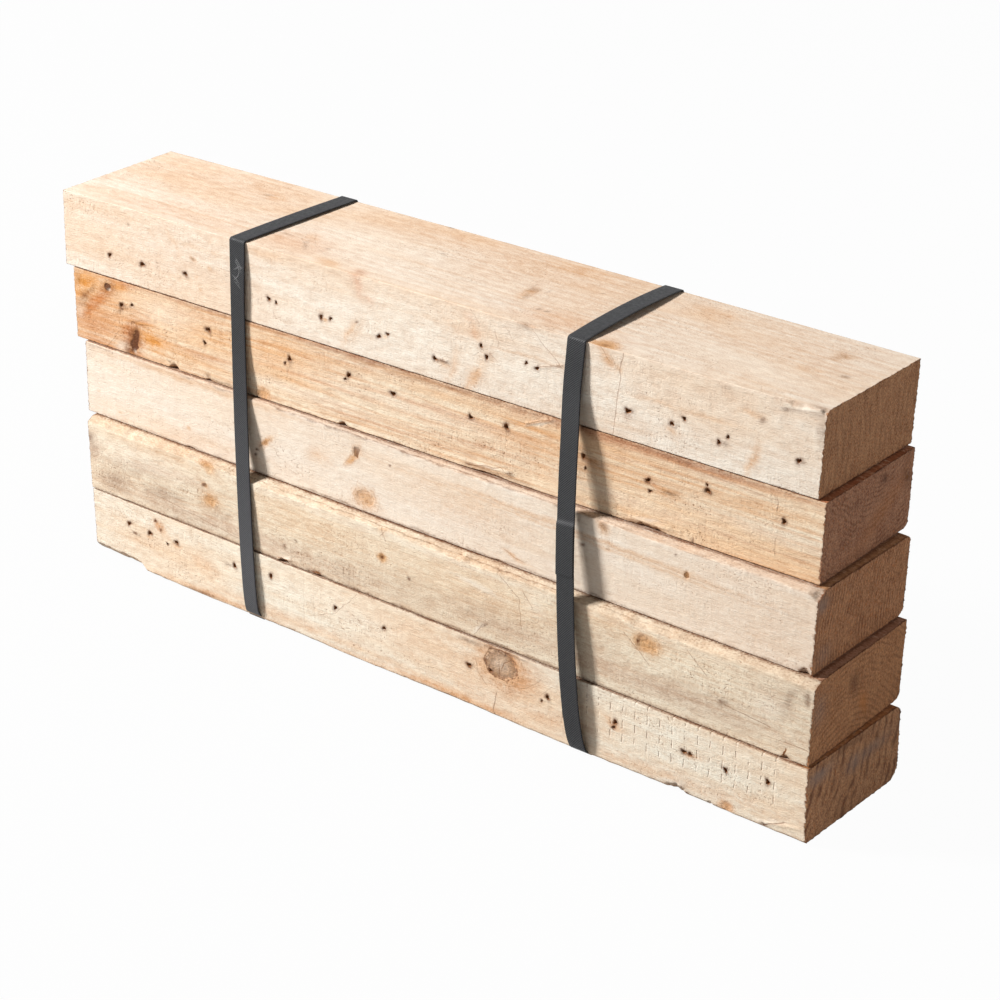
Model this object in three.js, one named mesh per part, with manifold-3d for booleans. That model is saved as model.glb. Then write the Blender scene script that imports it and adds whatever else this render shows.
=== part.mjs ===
// A bundle of five sawn pine studs, stacked on their wide faces and held by two plastic straps.
// X runs along the studs, Y from the front of the stack to its back, and Z is up. Millimetres.

import * as THREE from "three";
import { mergeVertices } from "three/addons/utils/BufferGeometryUtils.js";
import Module from "manifold-3d";

const wasm = await Module();
wasm.setup();

// The sawn studs.
const STUD_LENGTH = 520; // nominal, between the two saw cuts
const STUD_WIDTH = 90; // nominal, front to back
const STUD_THICKNESS = 45; // nominal, one layer of the stack
const ARRIS_RADIUS = 0.8; // the long corners, worn round
const SEAT_GAP = 0.3; // clearance between pieces that bear on each other
const TWIST_STEPS = 8; // straight steps along a stud that has twisted

// The holes that drawn nails have left in the narrow faces.
const NAIL_DIAMETER = 2.8;
const NAIL_DEPTH = 22;
const NAIL_POINT = 5; // length of the tapered end of the hole
const TEAR_WIDTH = 0.6; // how far the wood has torn away around a hole's mouth
const TEAR_DEPTH = 1.5;

// The straps, each one band around the whole stack.
const STRAP_WIDTH = 12;
const STRAP_THICKNESS = 0.8;
const WELD_LENGTH = 30; // overlap of the band's two ends, pressed together hot
const LEFT_STRAP_INSET = 128; // from the left end of the top stud's nominal length
const RIGHT_STRAP_INSET = 156; // from the right end of the same length
const BOUND_STRETCH = 0.25; // of a stud's thickness, next to a corner, where a band lies tight
const BOW_STEPS = 24; // straight steps in a band's bowed front run
const BOW_TAPER = 0.4; // 1 is a bow fullest halfway down; nearer 0, it is fullest nearer the foot
const SLIGHT_TURN = 0.12; // a band's turn, in radians, up to which one corner will do for an arc
const MERGE_DISTANCE = 0.2; // points of the band's course that lie nearer than this are one

// How wane, the round of the log left on a sawn corner, swells and shrinks along the stud.
const WANE_SWELL = 0.2;
const WANE_WAVELENGTH = 130;

// The studs from the top of the stack down, seen from the front. Sizes and places are in mm.
// over: [length, width, thickness] beyond nominal. slide: its middle, to the right of the stack's.
// setback: its front face at the middle, behind the stack's. turn: degrees about Z.
// ends: how far the foot of each saw cut lies to the left of its head, and how far the back of the
// right cut lies to the right of its front. batter: how far the foot of the front face lies back.
// nails: [along, up], percent of the length and of the thickness. wanes: what each long corner lost
// at its left and right ends, over the stretch from..to in percent of the length. chips: pieces
// broken off a long corner at a percent of the length, [length, depth, height]. wind: how much
// higher than its front the back of a twisted stud stands, at its left and right ends.
const STUDS = [
  {
    name: "stud_1", over: [5, 0.6, 1.2], slide: -11.4, setback: 5.9, turn: 0.41,
    ends: { left: 0.3, right: 0.6, back: 0.5 }, batter: -0.4, color: "#e8cda4",
    nails: [
      [7.2, 30], [12.4, 31], [19, 36], [31.4, 37], [32.5, 34], [38.8, 34], [40.2, 35], [46.8, 32],
      [48, 38], [54.3, 26], [60.2, 58], [60.9, 47], [65.9, 54], [67.2, 51], [78.3, 34], [83.4, 34],
      [84.7, 45], [88.7, 30], [89.7, 39], [97.5, 37],
    ],
    wanes: [],
    chips: [{ along: 100, side: "front", level: "top", size: [5, 3, 3] }],
    wind: [3.3, 0.3],
  },
  {
    name: "stud_2", over: [3, -1.5, -0.2], slide: -6.2, setback: 5.2, turn: 0.43,
    ends: { left: 0.1, right: 0.4, back: -0.6 }, batter: 0.5, color: "#d9ab78",
    nails: [
      [7.6, 67], [9.4, 71], [20.6, 51], [21.2, 70], [33.3, 67], [41.2, 64], [41.7, 70], [47.8, 64],
      [58.1, 67], [62.7, 69], [72.3, 63], [72.6, 49], [80.1, 59], [80.4, 47], [87, 70], [95.6, 62],
    ],
    wanes: [{ side: "back", level: "bottom", left: 1, right: 3, from: 0, to: 100 }],
    chips: [
      { along: 15.7, side: "front", level: "bottom", size: [9, 3, 3] },
      { along: 40.7, side: "front", level: "bottom", size: [7, 3, 2.5] },
      { along: 80.5, side: "front", level: "bottom", size: [24, 2, 2.5] },
    ],
    wind: [0, 0],
  },
  {
    name: "stud_3", over: [-1, -0.4, 0.6], slide: 0, setback: 0.9, turn: -0.29,
    ends: { left: 0.3, right: 0.4, back: 0 }, batter: 0, color: "#ecd3ab",
    nails: [],
    wanes: [
      { side: "back", level: "top", left: 1.5, right: 2.5, from: 0, to: 100 },
      { side: "back", level: "bottom", left: 2, right: 3.5, from: 0, to: 100 },
    ],
    chips: [{ along: 100, side: "front", level: "top", size: [16, 7, 5] }],
    wind: [0, 0],
  },
  {
    name: "stud_4", over: [-1, 1.4, 2.1], slide: 5.6, setback: -5.4, turn: -0.16,
    ends: { left: -0.9, right: 0.6, back: -0.8 }, batter: 0.2, color: "#d3bb97",
    nails: [],
    wanes: [
      { side: "front", level: "top", left: 3.5, right: 3, from: 0, to: 100 },
      { side: "back", level: "bottom", left: 2, right: 3, from: 0, to: 100 },
    ],
    chips: [{ along: 31.2, side: "front", level: "bottom", size: [10, 3, 2.5] }],
    wind: [0, 0],
  },
  {
    name: "stud_5", over: [-2, -0.5, -1.3], slide: 7, setback: -6.6, turn: -0.39,
    ends: { left: 0, right: -1.1, back: 1.5 }, batter: 0.9, color: "#e2c195",
    nails: [
      [6, 66], [9.5, 64], [12.4, 58], [13.9, 66], [23.3, 66], [29, 73], [38.7, 64], [45.9, 63],
      [57.9, 59], [60.7, 64], [67.6, 50], [68.4, 58], [76.9, 53], [77.1, 61], [85.6, 59], [90.6, 57],
      [95.5, 64],
    ],
    wanes: [
      { side: "front", level: "bottom", left: 7, right: 4.5, from: 0, to: 8 },
      { side: "front", level: "bottom", left: 1.2, right: 2, from: 8, to: 100 },
      { side: "back", level: "top", left: 2, right: 3.5, from: 0, to: 100 },
      { side: "back", level: "bottom", left: 3, right: 6, from: 0, to: 100 },
    ],
    chips: [{ along: 85.4, side: "front", level: "bottom", size: [14, 6, 5] }],
    wind: [0, 0],
  },
];

// The straps. place: the middle of the band where it crosses the top front corner. lean: how far
// to the right of that its foot lies, since the stack has sheared. skew: how far to the right it
// has moved where it leaves the top at the back. slack: how much more the front run bows out than
// it has to. weld: which run holds the overlap, and the height of its top in percent.
const STRAPS = [
  {
    name: "strap_left", place: LEFT_STRAP_INSET - STUD_LENGTH / 2, lean: 15, skew: 4, slack: 0.3,
    weld: { side: "back", from: 57 },
  },
  {
    name: "strap_right", place: STUD_LENGTH / 2 - RIGHT_STRAP_INSET, lean: 18, skew: -3.3, slack: 3.4,
    weld: { side: "front", from: 58 },
  },
];

/** A closed three.js geometry as a manifold solid, joined at its corners by position alone. */
function toSolid(geometry) {
  const bare = new THREE.BufferGeometry();
  bare.setAttribute("position", geometry.getAttribute("position"));
  bare.setIndex(geometry.getIndex());
  const merged = mergeVertices(bare, 1e-4);
  const mesh = new wasm.Mesh({
    numProp: 3,
    vertProperties: new Float32Array(merged.getAttribute("position").array),
    triVerts: new Uint32Array(merged.getIndex().array),
  });
  mesh.merge();
  return new wasm.Manifold(mesh);
}

/** A manifold solid back as a three.js geometry. */
function toGeometry(solid) {
  const mesh = solid.getMesh();
  const geometry = new THREE.BufferGeometry();
  geometry.setAttribute("position", new THREE.BufferAttribute(mesh.vertProperties, 3));
  geometry.setIndex(new THREE.BufferAttribute(mesh.triVerts, 1));
  geometry.computeVertexNormals();
  return geometry;
}

/** Moves every vertex of a geometry to where move(vertex) puts it. */
function editVertices(geometry, move) {
  const position = geometry.getAttribute("position");
  const vertex = new THREE.Vector3();
  for (let i = 0; i < position.count; i += 1) {
    vertex.fromBufferAttribute(position, i);
    move(vertex);
    position.setXYZ(i, vertex.x, vertex.y, vertex.z);
  }
  return geometry;
}

/** Extrudes a (y, z) outline along X, with its middle at x = 0. */
function extrudeAlongX(outline, length, steps, curveSegments) {
  const options = { depth: length, steps, curveSegments, bevelEnabled: false };
  const geometry = new THREE.ExtrudeGeometry(outline, options);
  const yAxis = new THREE.Vector3(0, 1, 0);
  const zAxis = new THREE.Vector3(0, 0, 1);
  const xAxis = new THREE.Vector3(1, 0, 0);
  geometry.applyMatrix4(new THREE.Matrix4().makeBasis(yAxis, zAxis, xAxis));
  return geometry.translate(-length / 2, 0, 0);
}

/** The stud's own size, nominal plus what it was sawn over or under. */
function sizeOf(stud) {
  return {
    length: STUD_LENGTH + stud.over[0],
    width: STUD_WIDTH + stud.over[1],
    thickness: STUD_THICKNESS + stud.over[2],
  };
}

/** The sawn section: a rectangle whose four corners are worn round. */
function studOutline(width, thickness) {
  const r = ARRIS_RADIUS;
  const quarter = Math.PI / 2;
  const outline = new THREE.Shape();
  outline.absarc(r, r, r, 2 * quarter, 3 * quarter);
  outline.absarc(width - r, r, r, 3 * quarter, 4 * quarter);
  outline.absarc(width - r, thickness - r, r, 0, quarter);
  outline.absarc(r, thickness - r, r, quarter, 2 * quarter);
  outline.closePath();
  return outline;
}

/** How far a wane reaches from its corner, x mm along from the stud's middle. */
function waneReach(wane, length, x) {
  const start = (wane.from / 100 - 0.5) * length;
  const end = (wane.to / 100 - 0.5) * length;
  const share = THREE.MathUtils.clamp((x - start) / (end - start), 0, 1);
  const swell = 1 + WANE_SWELL * Math.sin((2 * Math.PI * x) / WANE_WAVELENGTH);
  return THREE.MathUtils.lerp(wane.left, wane.right, share) * swell;
}

/** How much higher than its front a stud's back stands, x mm along from its middle. */
function windAt(stud, x) {
  const [left, right] = stud.wind;
  const share = THREE.MathUtils.clamp(x / sizeOf(stud).length + 0.5, 0, 1);
  return THREE.MathUtils.lerp(left, right, share * share);
}

/** Where one long corner of a stud lies in its section, before any wear. */
function cornerOf(stud, { side, level }) {
  const size = sizeOf(stud);
  const y = side === "front" ? 0 : size.width;
  return level === "top" ? { y, z: size.thickness } : { y: y + stud.batter, z: 0 };
}

/** What lies outside the log along one long corner of a stud. */
function waneCutter(wane, stud) {
  const size = sizeOf(stud);
  const inward = wane.side === "front" ? 1 : -1;
  const upright = wane.level === "top" ? -1 : 1;
  const bulge = 0.44;
  const clear = -0.3;
  const outline = new THREE.Shape();
  outline.moveTo(0, upright);
  outline.quadraticCurveTo(bulge * inward, bulge * upright, inward, 0);
  outline.lineTo(inward, clear * upright);
  outline.lineTo(clear * inward, clear * upright);
  outline.lineTo(clear * inward, upright);
  outline.closePath();
  const length = (size.length * (wane.to - wane.from)) / 100;
  const steps = Math.max(2, Math.round(length / (WANE_WAVELENGTH / 6)));
  const overrun = 1 + 2 / length;
  const middle = ((wane.to + wane.from) / 200 - 0.5) * size.length;
  const corner = cornerOf(stud, wane);
  return editVertices(extrudeAlongX(outline, length, steps, 4), (v) => {
    v.x += middle;
    const reach = waneReach(wane, size.length, v.x);
    v.x = middle + (v.x - middle) * overrun;
    v.y = corner.y + v.y * reach;
    v.z = corner.z + v.z * reach;
  });
}

/** A drawn nail's hole, running back from the front face, with the torn mouth around it. */
function nailCutter() {
  const bore = NAIL_DIAMETER / 2;
  const mouth = bore + TEAR_WIDTH;
  const profile = [
    new THREE.Vector2(0, -TEAR_DEPTH),
    new THREE.Vector2(mouth, -TEAR_DEPTH),
    new THREE.Vector2(mouth, 0),
    new THREE.Vector2(bore, TEAR_DEPTH),
    new THREE.Vector2(bore, NAIL_DEPTH - NAIL_POINT),
    new THREE.Vector2(0, NAIL_DEPTH),
  ];
  return new THREE.LatheGeometry(profile, 8);
}

/** A lump that leaves the shell-like break of a chip where it is cut from a corner. */
function chipCutter(chip, stud) {
  const [length, depth, height] = chip.size;
  const corner = cornerOf(stud, chip);
  const lump = new THREE.IcosahedronGeometry(1, 0).rotateX(0.4).scale(length / 2, depth, height);
  return lump.translate((chip.along / 100 - 0.5) * sizeOf(stud).length, corner.y, corner.z);
}

/** One stud, with its middle at x = 0, its front face at y = 0 and its underside at z = 0. */
function buildStud(stud) {
  const size = sizeOf(stud);
  const { left, right, back } = stud.ends;
  const steps = stud.wind[0] === stud.wind[1] ? 2 : TWIST_STEPS;
  const blank = extrudeAlongX(studOutline(size.width, size.thickness), size.length, steps, 3);
  editVertices(blank, (v) => {
    const foot = 1 - v.z / size.thickness;
    const towardsEnd = Math.abs(v.x) / (size.length / 2);
    const shift = v.x < 0 ? -left * foot : -right * foot + (back * v.y) / size.width;
    v.x += shift * towardsEnd;
    v.y += stud.batter * foot;
  });
  const cutters = [];
  for (const wane of stud.wanes) {
    cutters.push(waneCutter(wane, stud));
  }
  for (const chip of stud.chips) {
    cutters.push(chipCutter(chip, stud));
  }
  for (const [along, up] of stud.nails) {
    const x = (along / 100 - 0.5) * size.length;
    const z = (up / 100) * size.thickness;
    const face = stud.batter * (1 - up / 100);
    cutters.push(nailCutter().translate(x, face, z));
  }
  const twisted = (geometry) => toSolid(editVertices(geometry, (v) => {
    v.z += (windAt(stud, v.x) * v.y) / size.width;
  }));
  const cut = (solid, cutter) => solid.subtract(twisted(cutter));
  const wood = cutters.reduce(cut, twisted(blank));
  const material = new THREE.MeshStandardMaterial({ color: stud.color, roughness: 0.85, metalness: 0 });
  const mesh = new THREE.Mesh(toGeometry(wood), material);
  mesh.name = stud.name;
  return mesh;
}

/** Stacks the studs from the bottom up and returns each one with its own underside's height. */
function stackStuds() {
  let height = STRAP_THICKNESS + SEAT_GAP;
  const placed = [];
  for (const stud of [...STUDS].reverse()) {
    placed.push({ stud, size: sizeOf(stud), underside: height });
    height += sizeOf(stud).thickness + Math.max(...stud.wind) + SEAT_GAP;
  }
  return placed;
}

/** Where a band at x bears on a placed stud's top or bottom, drawn in by the arris radius. */
function bearingPoints({ stud, size, underside }, level, x) {
  const r = ARRIS_RADIUS;
  const along = x - stud.slide;
  const share = along / size.length + 0.5;
  const lean = along * Math.tan(THREE.MathUtils.degToRad(stud.turn));
  const face = stud.setback + lean + (level === "top" ? 0 : stud.batter);
  const z = underside + (level === "top" ? size.thickness : 0);
  const upright = level === "top" ? -1 : 1;
  const points = [];
  for (const side of ["front", "back"]) {
    const inward = side === "front" ? 1 : -1;
    const y = side === "front" ? face : face + size.width;
    const waned = stud.wanes.filter((wane) => wane.side === side && wane.level === level
      && share * 100 >= wane.from && share * 100 <= wane.to);
    const reach = Math.max(r, ...waned.map((wane) => waneReach(wane, size.length, along)));
    const lift = (windAt(stud, along) * (y - face)) / size.width;
    points.push(new THREE.Vector2(y + reach * inward, z + lift + r * upright));
    points.push(new THREE.Vector2(y + r * inward, z + lift + reach * upright));
  }
  return points;
}

/** The convex hull of 2D points, anticlockwise from the lowest of the leftmost ones. */
function convexHull(points) {
  const sorted = [...points].sort((a, b) => a.x - b.x || a.y - b.y);
  const turn = (a, b, c) => (b.x - a.x) * (c.y - a.y) - (b.y - a.y) * (c.x - a.x);
  const chain = (list) => list.reduce((kept, point) => {
    while (kept.length > 1 && turn(kept.at(-2), kept.at(-1), point) <= 1e-6) {
      kept.pop();
    }
    kept.push(point);
    return kept;
  }, []);
  const lower = chain(sorted).slice(0, -1);
  const upper = chain([...sorted].reverse()).slice(0, -1);
  const hull = [...lower, ...upper];
  return hull.filter((point, i) => point.distanceTo(hull.at(i - 1)) > MERGE_DISTANCE);
}

/** Where the band lies along X when it passes depth y and height z. */
function bandPlace(strap, y, z, height) {
  const rise = THREE.MathUtils.clamp(z / height, 0, 1);
  const depth = THREE.MathUtils.clamp(y / STUD_WIDTH, 0, 1);
  return strap.place + strap.lean * (1 - rise) + strap.skew * depth * rise;
}

/** How far a bow stands out at a share of the way down from the head, 1 where it is fullest. */
function bowShare(share) {
  const rise = (at) => at * (1 - at) ** BOW_TAPER;
  return rise(share) / rise(1 / (1 + BOW_TAPER));
}

/** The front run, from the top corner down, bowed out in one smooth curve clear of every stud. */
function bowedRun(run, slack) {
  const bound = BOUND_STRETCH * STUD_THICKNESS;
  const [head, foot] = [run[0].y - bound, run.at(-1).y + bound];
  const over = run.filter((point) => point.y >= head);
  const under = run.filter((point) => point.y <= foot);
  const free = run.filter((point) => point.y < head && point.y > foot);
  const [start, end] = [over.at(-1), under[0]];
  const shareAt = (point) => (point.y - start.y) / (end.y - start.y);
  const chord = (share) => start.clone().lerp(end, share);
  const needed = free.map((point) => {
    return (chord(shareAt(point)).x - point.x) / bowShare(shareAt(point));
  });
  const bow = Math.max(0, ...needed) + slack;
  const bowed = [];
  for (let i = 1; i < BOW_STEPS; i += 1) {
    const share = i / BOW_STEPS;
    bowed.push(chord(share).setX(chord(share).x - bow * bowShare(share)));
  }
  return [...over, ...bowed, ...under];
}

/** Adds the two ends of the weld to a run, and marks what lies between them as two layers. */
function insertWeld(run, top) {
  const bottom = top - WELD_LENGTH;
  const pointAt = (z) => {
    const next = run.findIndex((point, i) => i > 0 && (point.y - z) * (run[i - 1].y - z) <= 0);
    const [a, b] = [run[next - 1], run[next]];
    return a.clone().lerp(b, (z - a.y) / (b.y - a.y));
  };
  const falling = run[0].y > run.at(-1).y;
  const ends = falling ? [pointAt(top), pointAt(bottom)] : [pointAt(bottom), pointAt(top)];
  const past = (end, point) => (falling ? end.y - point.y : point.y - end.y);
  const before = run.filter((point) => past(ends[0], point) < 0);
  const between = run.filter((point) => past(ends[0], point) > 0 && past(ends[1], point) < 0);
  const after = run.filter((point) => past(ends[1], point) > 0);
  const double = (point) => Object.assign(point.clone(), { layers: 2 });
  return [...before, ends[0], ...[ends[0], ...between, ends[1]].map(double), ends[1], ...after];
}

/** The band's course, anticlockwise, as the points it bends around, with the layers laid there. */
function bandCourse(strap, placed, height) {
  const points = [];
  for (const layer of placed) {
    for (const level of ["top", "bottom"]) {
      const z = layer.underside + (level === "top" ? layer.size.thickness : 0);
      for (const y of [0, STUD_WIDTH]) {
        const x = bandPlace(strap, y, z, height);
        points.push(...bearingPoints(layer, level, x - STRAP_WIDTH / 2));
        points.push(...bearingPoints(layer, level, x + STRAP_WIDTH / 2));
      }
    }
  }
  const hull = convexHull(points);
  const isFront = (point) => point.x < STUD_WIDTH / 2;
  const front = hull.filter(isFront).sort((a, b) => b.y - a.y);
  const back = hull.filter((point) => !isFront(point)).sort((a, b) => a.y - b.y);
  const runs = { front: bowedRun(front, strap.slack), back };
  runs[strap.weld.side] = insertWeld(runs[strap.weld.side], (strap.weld.from / 100) * height);
  return [...runs.front, ...runs.back];
}

/** A closed path at a distance from a convex course, with an arc around each point that turns it. */
function offsetPath(path, course, distanceAt) {
  const count = course.length;
  const apart = (a, b) => a.distanceTo(b) > 1e-3;
  course.forEach((point, i) => {
    let last = i;
    let next = i;
    while (!apart(course[last], point)) {
      last = (last + count - 1) % count;
    }
    while (!apart(course[next], point)) {
      next = (next + 1) % count;
    }
    const outwards = (a, b) => Math.atan2(b.y - a.y, b.x - a.x) - Math.PI / 2;
    const start = outwards(course[last], point);
    const turned = outwards(point, course[next]) - start;
    const sweep = THREE.MathUtils.euclideanModulo(turned + Math.PI, 2 * Math.PI) - Math.PI;
    const distance = distanceAt(point);
    if (sweep > SLIGHT_TURN) {
      path.absarc(point.x, point.y, distance, start, start + sweep);
    } else {
      const x = point.x + distance * Math.cos(start + sweep / 2);
      const y = point.y + distance * Math.sin(start + sweep / 2);
      if (i === 0) {
        path.moveTo(x, y);
      } else {
        path.lineTo(x, y);
      }
    }
  });
  path.closePath();
  return path;
}

/** One strap: a closed band that bends round the stack's corners and leans with it. */
function buildStrap(strap, placed) {
  const top = placed.at(-1);
  const height = top.underside + top.size.thickness;
  const course = bandCourse(strap, placed, height);
  const inner = ARRIS_RADIUS + SEAT_GAP;
  const outer = (point) => inner + STRAP_THICKNESS * (point.layers ?? 1);
  const outline = offsetPath(new THREE.Shape(), course, outer);
  outline.holes.push(offsetPath(new THREE.Path(), course, () => inner));
  const band = extrudeAlongX(outline, STRAP_WIDTH, 1, 3);
  editVertices(band, (v) => {
    v.x += bandPlace(strap, v.y, v.z, height);
  });
  const material = new THREE.MeshStandardMaterial({ color: "#3c3c3f", roughness: 0.6, metalness: 0 });
  const mesh = new THREE.Mesh(toGeometry(toSolid(band)), material);
  mesh.name = strap.name;
  return mesh;
}

const bundle = new THREE.Group();
const placed = stackStuds();
for (const { stud, underside } of placed) {
  const mesh = buildStud(stud);
  mesh.position.set(stud.slide, stud.setback, underside);
  mesh.rotation.z = THREE.MathUtils.degToRad(stud.turn);
  bundle.add(mesh);
}
for (const strap of STRAPS) {
  bundle.add(buildStrap(strap, placed));
}

// The origin is on the floor under the middle of the whole bundle.
const bounds = new THREE.Box3().setFromObject(bundle, true);
const centre = bounds.getCenter(new THREE.Vector3());
bundle.position.set(-centre.x, -centre.y, -bounds.min.z);

export default bundle;
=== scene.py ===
"""A bundle of five second-hand pine studs, stacked flat and bound by two plastic straps.

X runs along the studs, Y from the front of the stack to its back, and Z is up. The sizes of the
pieces are written in millimetres and put into the meshes in metres.
"""
import math

import bpy
import numpy as np
from mathutils import Matrix


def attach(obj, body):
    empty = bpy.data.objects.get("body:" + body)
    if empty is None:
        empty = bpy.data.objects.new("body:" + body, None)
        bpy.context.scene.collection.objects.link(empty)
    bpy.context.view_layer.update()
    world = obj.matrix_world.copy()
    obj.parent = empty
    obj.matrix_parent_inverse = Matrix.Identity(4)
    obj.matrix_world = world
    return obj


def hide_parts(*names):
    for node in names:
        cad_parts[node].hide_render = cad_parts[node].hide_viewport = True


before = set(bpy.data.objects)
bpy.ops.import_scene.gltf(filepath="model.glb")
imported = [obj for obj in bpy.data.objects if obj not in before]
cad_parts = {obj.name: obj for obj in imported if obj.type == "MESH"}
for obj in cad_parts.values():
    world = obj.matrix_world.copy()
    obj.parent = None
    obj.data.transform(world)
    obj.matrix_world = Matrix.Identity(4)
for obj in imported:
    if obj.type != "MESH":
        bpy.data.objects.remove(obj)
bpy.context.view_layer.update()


# ---------------------------------------------------------------------------------------------
# The studs. Five lengths of sawn pine from an old floor or pallet, cross-cut rough. The narrow
# front faces are full of the holes of drawn nails, and their long corners are torn and dirty.
# ---------------------------------------------------------------------------------------------

MM = 0.001
STACK_ORIGIN = (2.819, -42.822, 0.0)  # where the stack's own zero lies in the part's frame
COLUMN_PITCH = 0.8  # between the points of the skin along a stud
ROW_PITCH = 0.76  # between its lines on a front face
TOP_PITCH = 1.65  # between its lines on the top stud's broad faces
HIDDEN_PITCH = 2.1  # between its lines on the other studs' broad faces
EDGE_LINES = 6  # lines beyond the front face that are as fine as those on it
ARRIS = 0.7  # how far a sawn corner is worn round
CHORD = 0.42  # how far from the corner a wane's C lies, in reaches: 0.5 is on the chord
WANE_WAVE = 130.0  # the length in which a wane swells and shrinks
OVERHANG = 4.8  # how far a stud stands out at the right beyond the one above it
DARKENING_FADE = 1.3  # how far from an edge its darkening has faded to a third
NAIL_PULL, PULL_REACH = 0.6, 4.0  # how strongly the skin gathers round a nail hole, how far off
NAIL_DEPTH, HOLE_RADIUS = 1.8, 1.05
SHARP_WOOD = 48  # the angle, in degrees, from which two faces meet in a sharp edge

STAINS = ("heart", "resin", "grey", "brown", "pale", "black")
LINE_REACH, LINE_FADE = 5.0, 1.9  # how far the distance to a crack is kept, and how it fades
KNOT_REACH = -2.0  # the mark of wood that is far from any knot
PLAIN_MARKS = {**dict.fromkeys(STAINS + ("tone", "warp", "cut", "line", "edge"), 0.0),
               "knot": KNOT_REACH, "side": LINE_REACH}


def drift(seed, u, v=0.0):
    """Smooth chance from -1 to 1: a seeded table of values, one for each whole step of u and v,
    blended between the steps by the curve 3f^2 - 2f^3."""
    size = 64
    table = np.random.default_rng(seed).uniform(-1, 1, (size, size))
    u, v = np.broadcast_arrays(np.asarray(u, float), np.asarray(v, float))
    cell_u, cell_v = np.floor(u).astype(int), np.floor(v).astype(int)
    part_u, part_v = ease(u - cell_u, 0, 1), ease(v - cell_v, 0, 1)
    low, high = cell_v % size, (cell_v + 1) % size
    near, far = cell_u % size, (cell_u + 1) % size
    start = table[near, low] * (1 - part_v) + table[near, high] * part_v
    end = table[far, low] * (1 - part_v) + table[far, high] * part_v
    return start * (1 - part_u) + end * part_u


def ease(value, low, high):
    """0 below low, 1 above high, and 3f^2 - 2f^3 between."""
    part = np.clip((value - low) / (high - low), 0, 1)
    return part * part * (3 - 2 * part)


def spaced(length, pitch, near, far=None, multiple=1):
    """Places from 0 to length: the given small distances in from each end, and even steps of
    about pitch between, so many that the number of steps is a multiple."""
    near = np.array(near)
    far = near if far is None else np.array(far)
    free = length - near[-1] - far[-1]
    count = max(1, round(free / pitch))
    count += -(count + len(near) + len(far) - 2) % multiple
    middle = near[-1] + free * np.arange(1, count) / count
    return np.concatenate([near, middle, length - far[::-1]])


def bar_faces(along, across, up, keep):
    """Faces of a closed square bar. Its skin is a ring of lines along the bar: up the front,
    back over the top, down the back and forward underneath. Line j keeps every keep[j]-th of its
    points, and where a fine line meets a coarse one each face takes several points of the fine
    one. The two ends are grids on the ring's first and last points. Gives the faces as arrays of
    point numbers, outward side anticlockwise, and the two grids of numbers."""
    lines = 2 * (across + up)
    ring = np.arange((along + 1) * lines).reshape(along + 1, lines)
    faces = []
    for j in range(lines):
        k = (j + 1) % lines
        wide = max(keep[j], keep[k])
        i = np.arange(0, along, wide)
        near = [ring[i + n * keep[j], j] for n in range(wide // keep[j] + 1)]
        far = [ring[i + n * keep[k], k] for n in range(wide // keep[k] + 1)]
        faces.append(np.stack(near + far[::-1], axis=1))
    ends = []
    for number, first in enumerate((0, along)):
        grid = np.empty((across + 1, up + 1), int)
        grid[0, :] = ring[first, : up + 1]
        grid[:, up] = ring[first, up : up + across + 1]
        grid[across, ::-1] = ring[first, up + across : 2 * up + across + 1]
        grid[::-1, 0] = ring[first, np.arange(2 * up + across, lines + 1) % lines]
        inside = (across - 1) * (up - 1)
        start = ring.size + number * inside
        grid[1:-1, 1:-1] = np.arange(start, start + inside).reshape(across - 1, up - 1)
        quad = [grid[:-1, :-1], grid[1:, :-1], grid[1:, 1:], grid[:-1, 1:]]
        if first == 0:
            quad = quad[::-1]
        faces.append(np.stack([corner.ravel() for corner in quad], axis=1))
        ends.append(grid)
    return faces, ends


def add_object(name, data):
    """A new object in the scene."""
    made = bpy.data.objects.new(name, data)
    bpy.context.scene.collection.objects.link(made)
    return made


def make_mesh(name, points, faces, marks, sharp):
    """A mesh object from points in mm, arrays of faces, and one number a point for each named
    mark. Edges sharper than so many degrees are not smoothed. Points that no face uses are
    dropped."""
    sizes = np.concatenate([np.full(len(part), part.shape[1]) for part in faces])
    corners = np.concatenate([part.ravel() for part in faces])
    used, corners = np.unique(corners, return_inverse=True)
    mesh = bpy.data.meshes.new(name)
    mesh.vertices.add(len(used))
    mesh.vertices.foreach_set("co", (points * MM)[used].astype(np.float32).ravel())
    mesh.loops.add(len(corners))
    mesh.loops.foreach_set("vertex_index", corners.astype(np.int32))
    mesh.polygons.add(len(sizes))
    starts = np.concatenate([[0], np.cumsum(sizes)[:-1]])
    mesh.polygons.foreach_set("loop_start", starts.astype(np.int32))
    mesh.polygons.foreach_set("use_smooth", np.ones(len(sizes), bool))
    mesh.update(calc_edges=True)
    mesh.validate()
    mesh.set_sharp_from_angle(angle=math.radians(sharp))
    for mark, values in marks.items():
        attribute = mesh.attributes.new(mark, "FLOAT", "POINT")
        attribute.data.foreach_set("value", values[used].astype(np.float32))
    return add_object(name, mesh)


def in_reaches(u, v, at_u, at_v, reach_u, reach_v, tilt=0):
    """The way from a place to each point, along the place's axes, which are turned by tilt
    degrees. It is measured in the place's reaches."""
    turn = math.radians(tilt)
    du = (u - at_u) * math.cos(turn) + (v - at_v) * math.sin(turn)
    dv = (v - at_v) * math.cos(turn) - (u - at_u) * math.sin(turn)
    return du / reach_u, dv / reach_v


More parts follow.
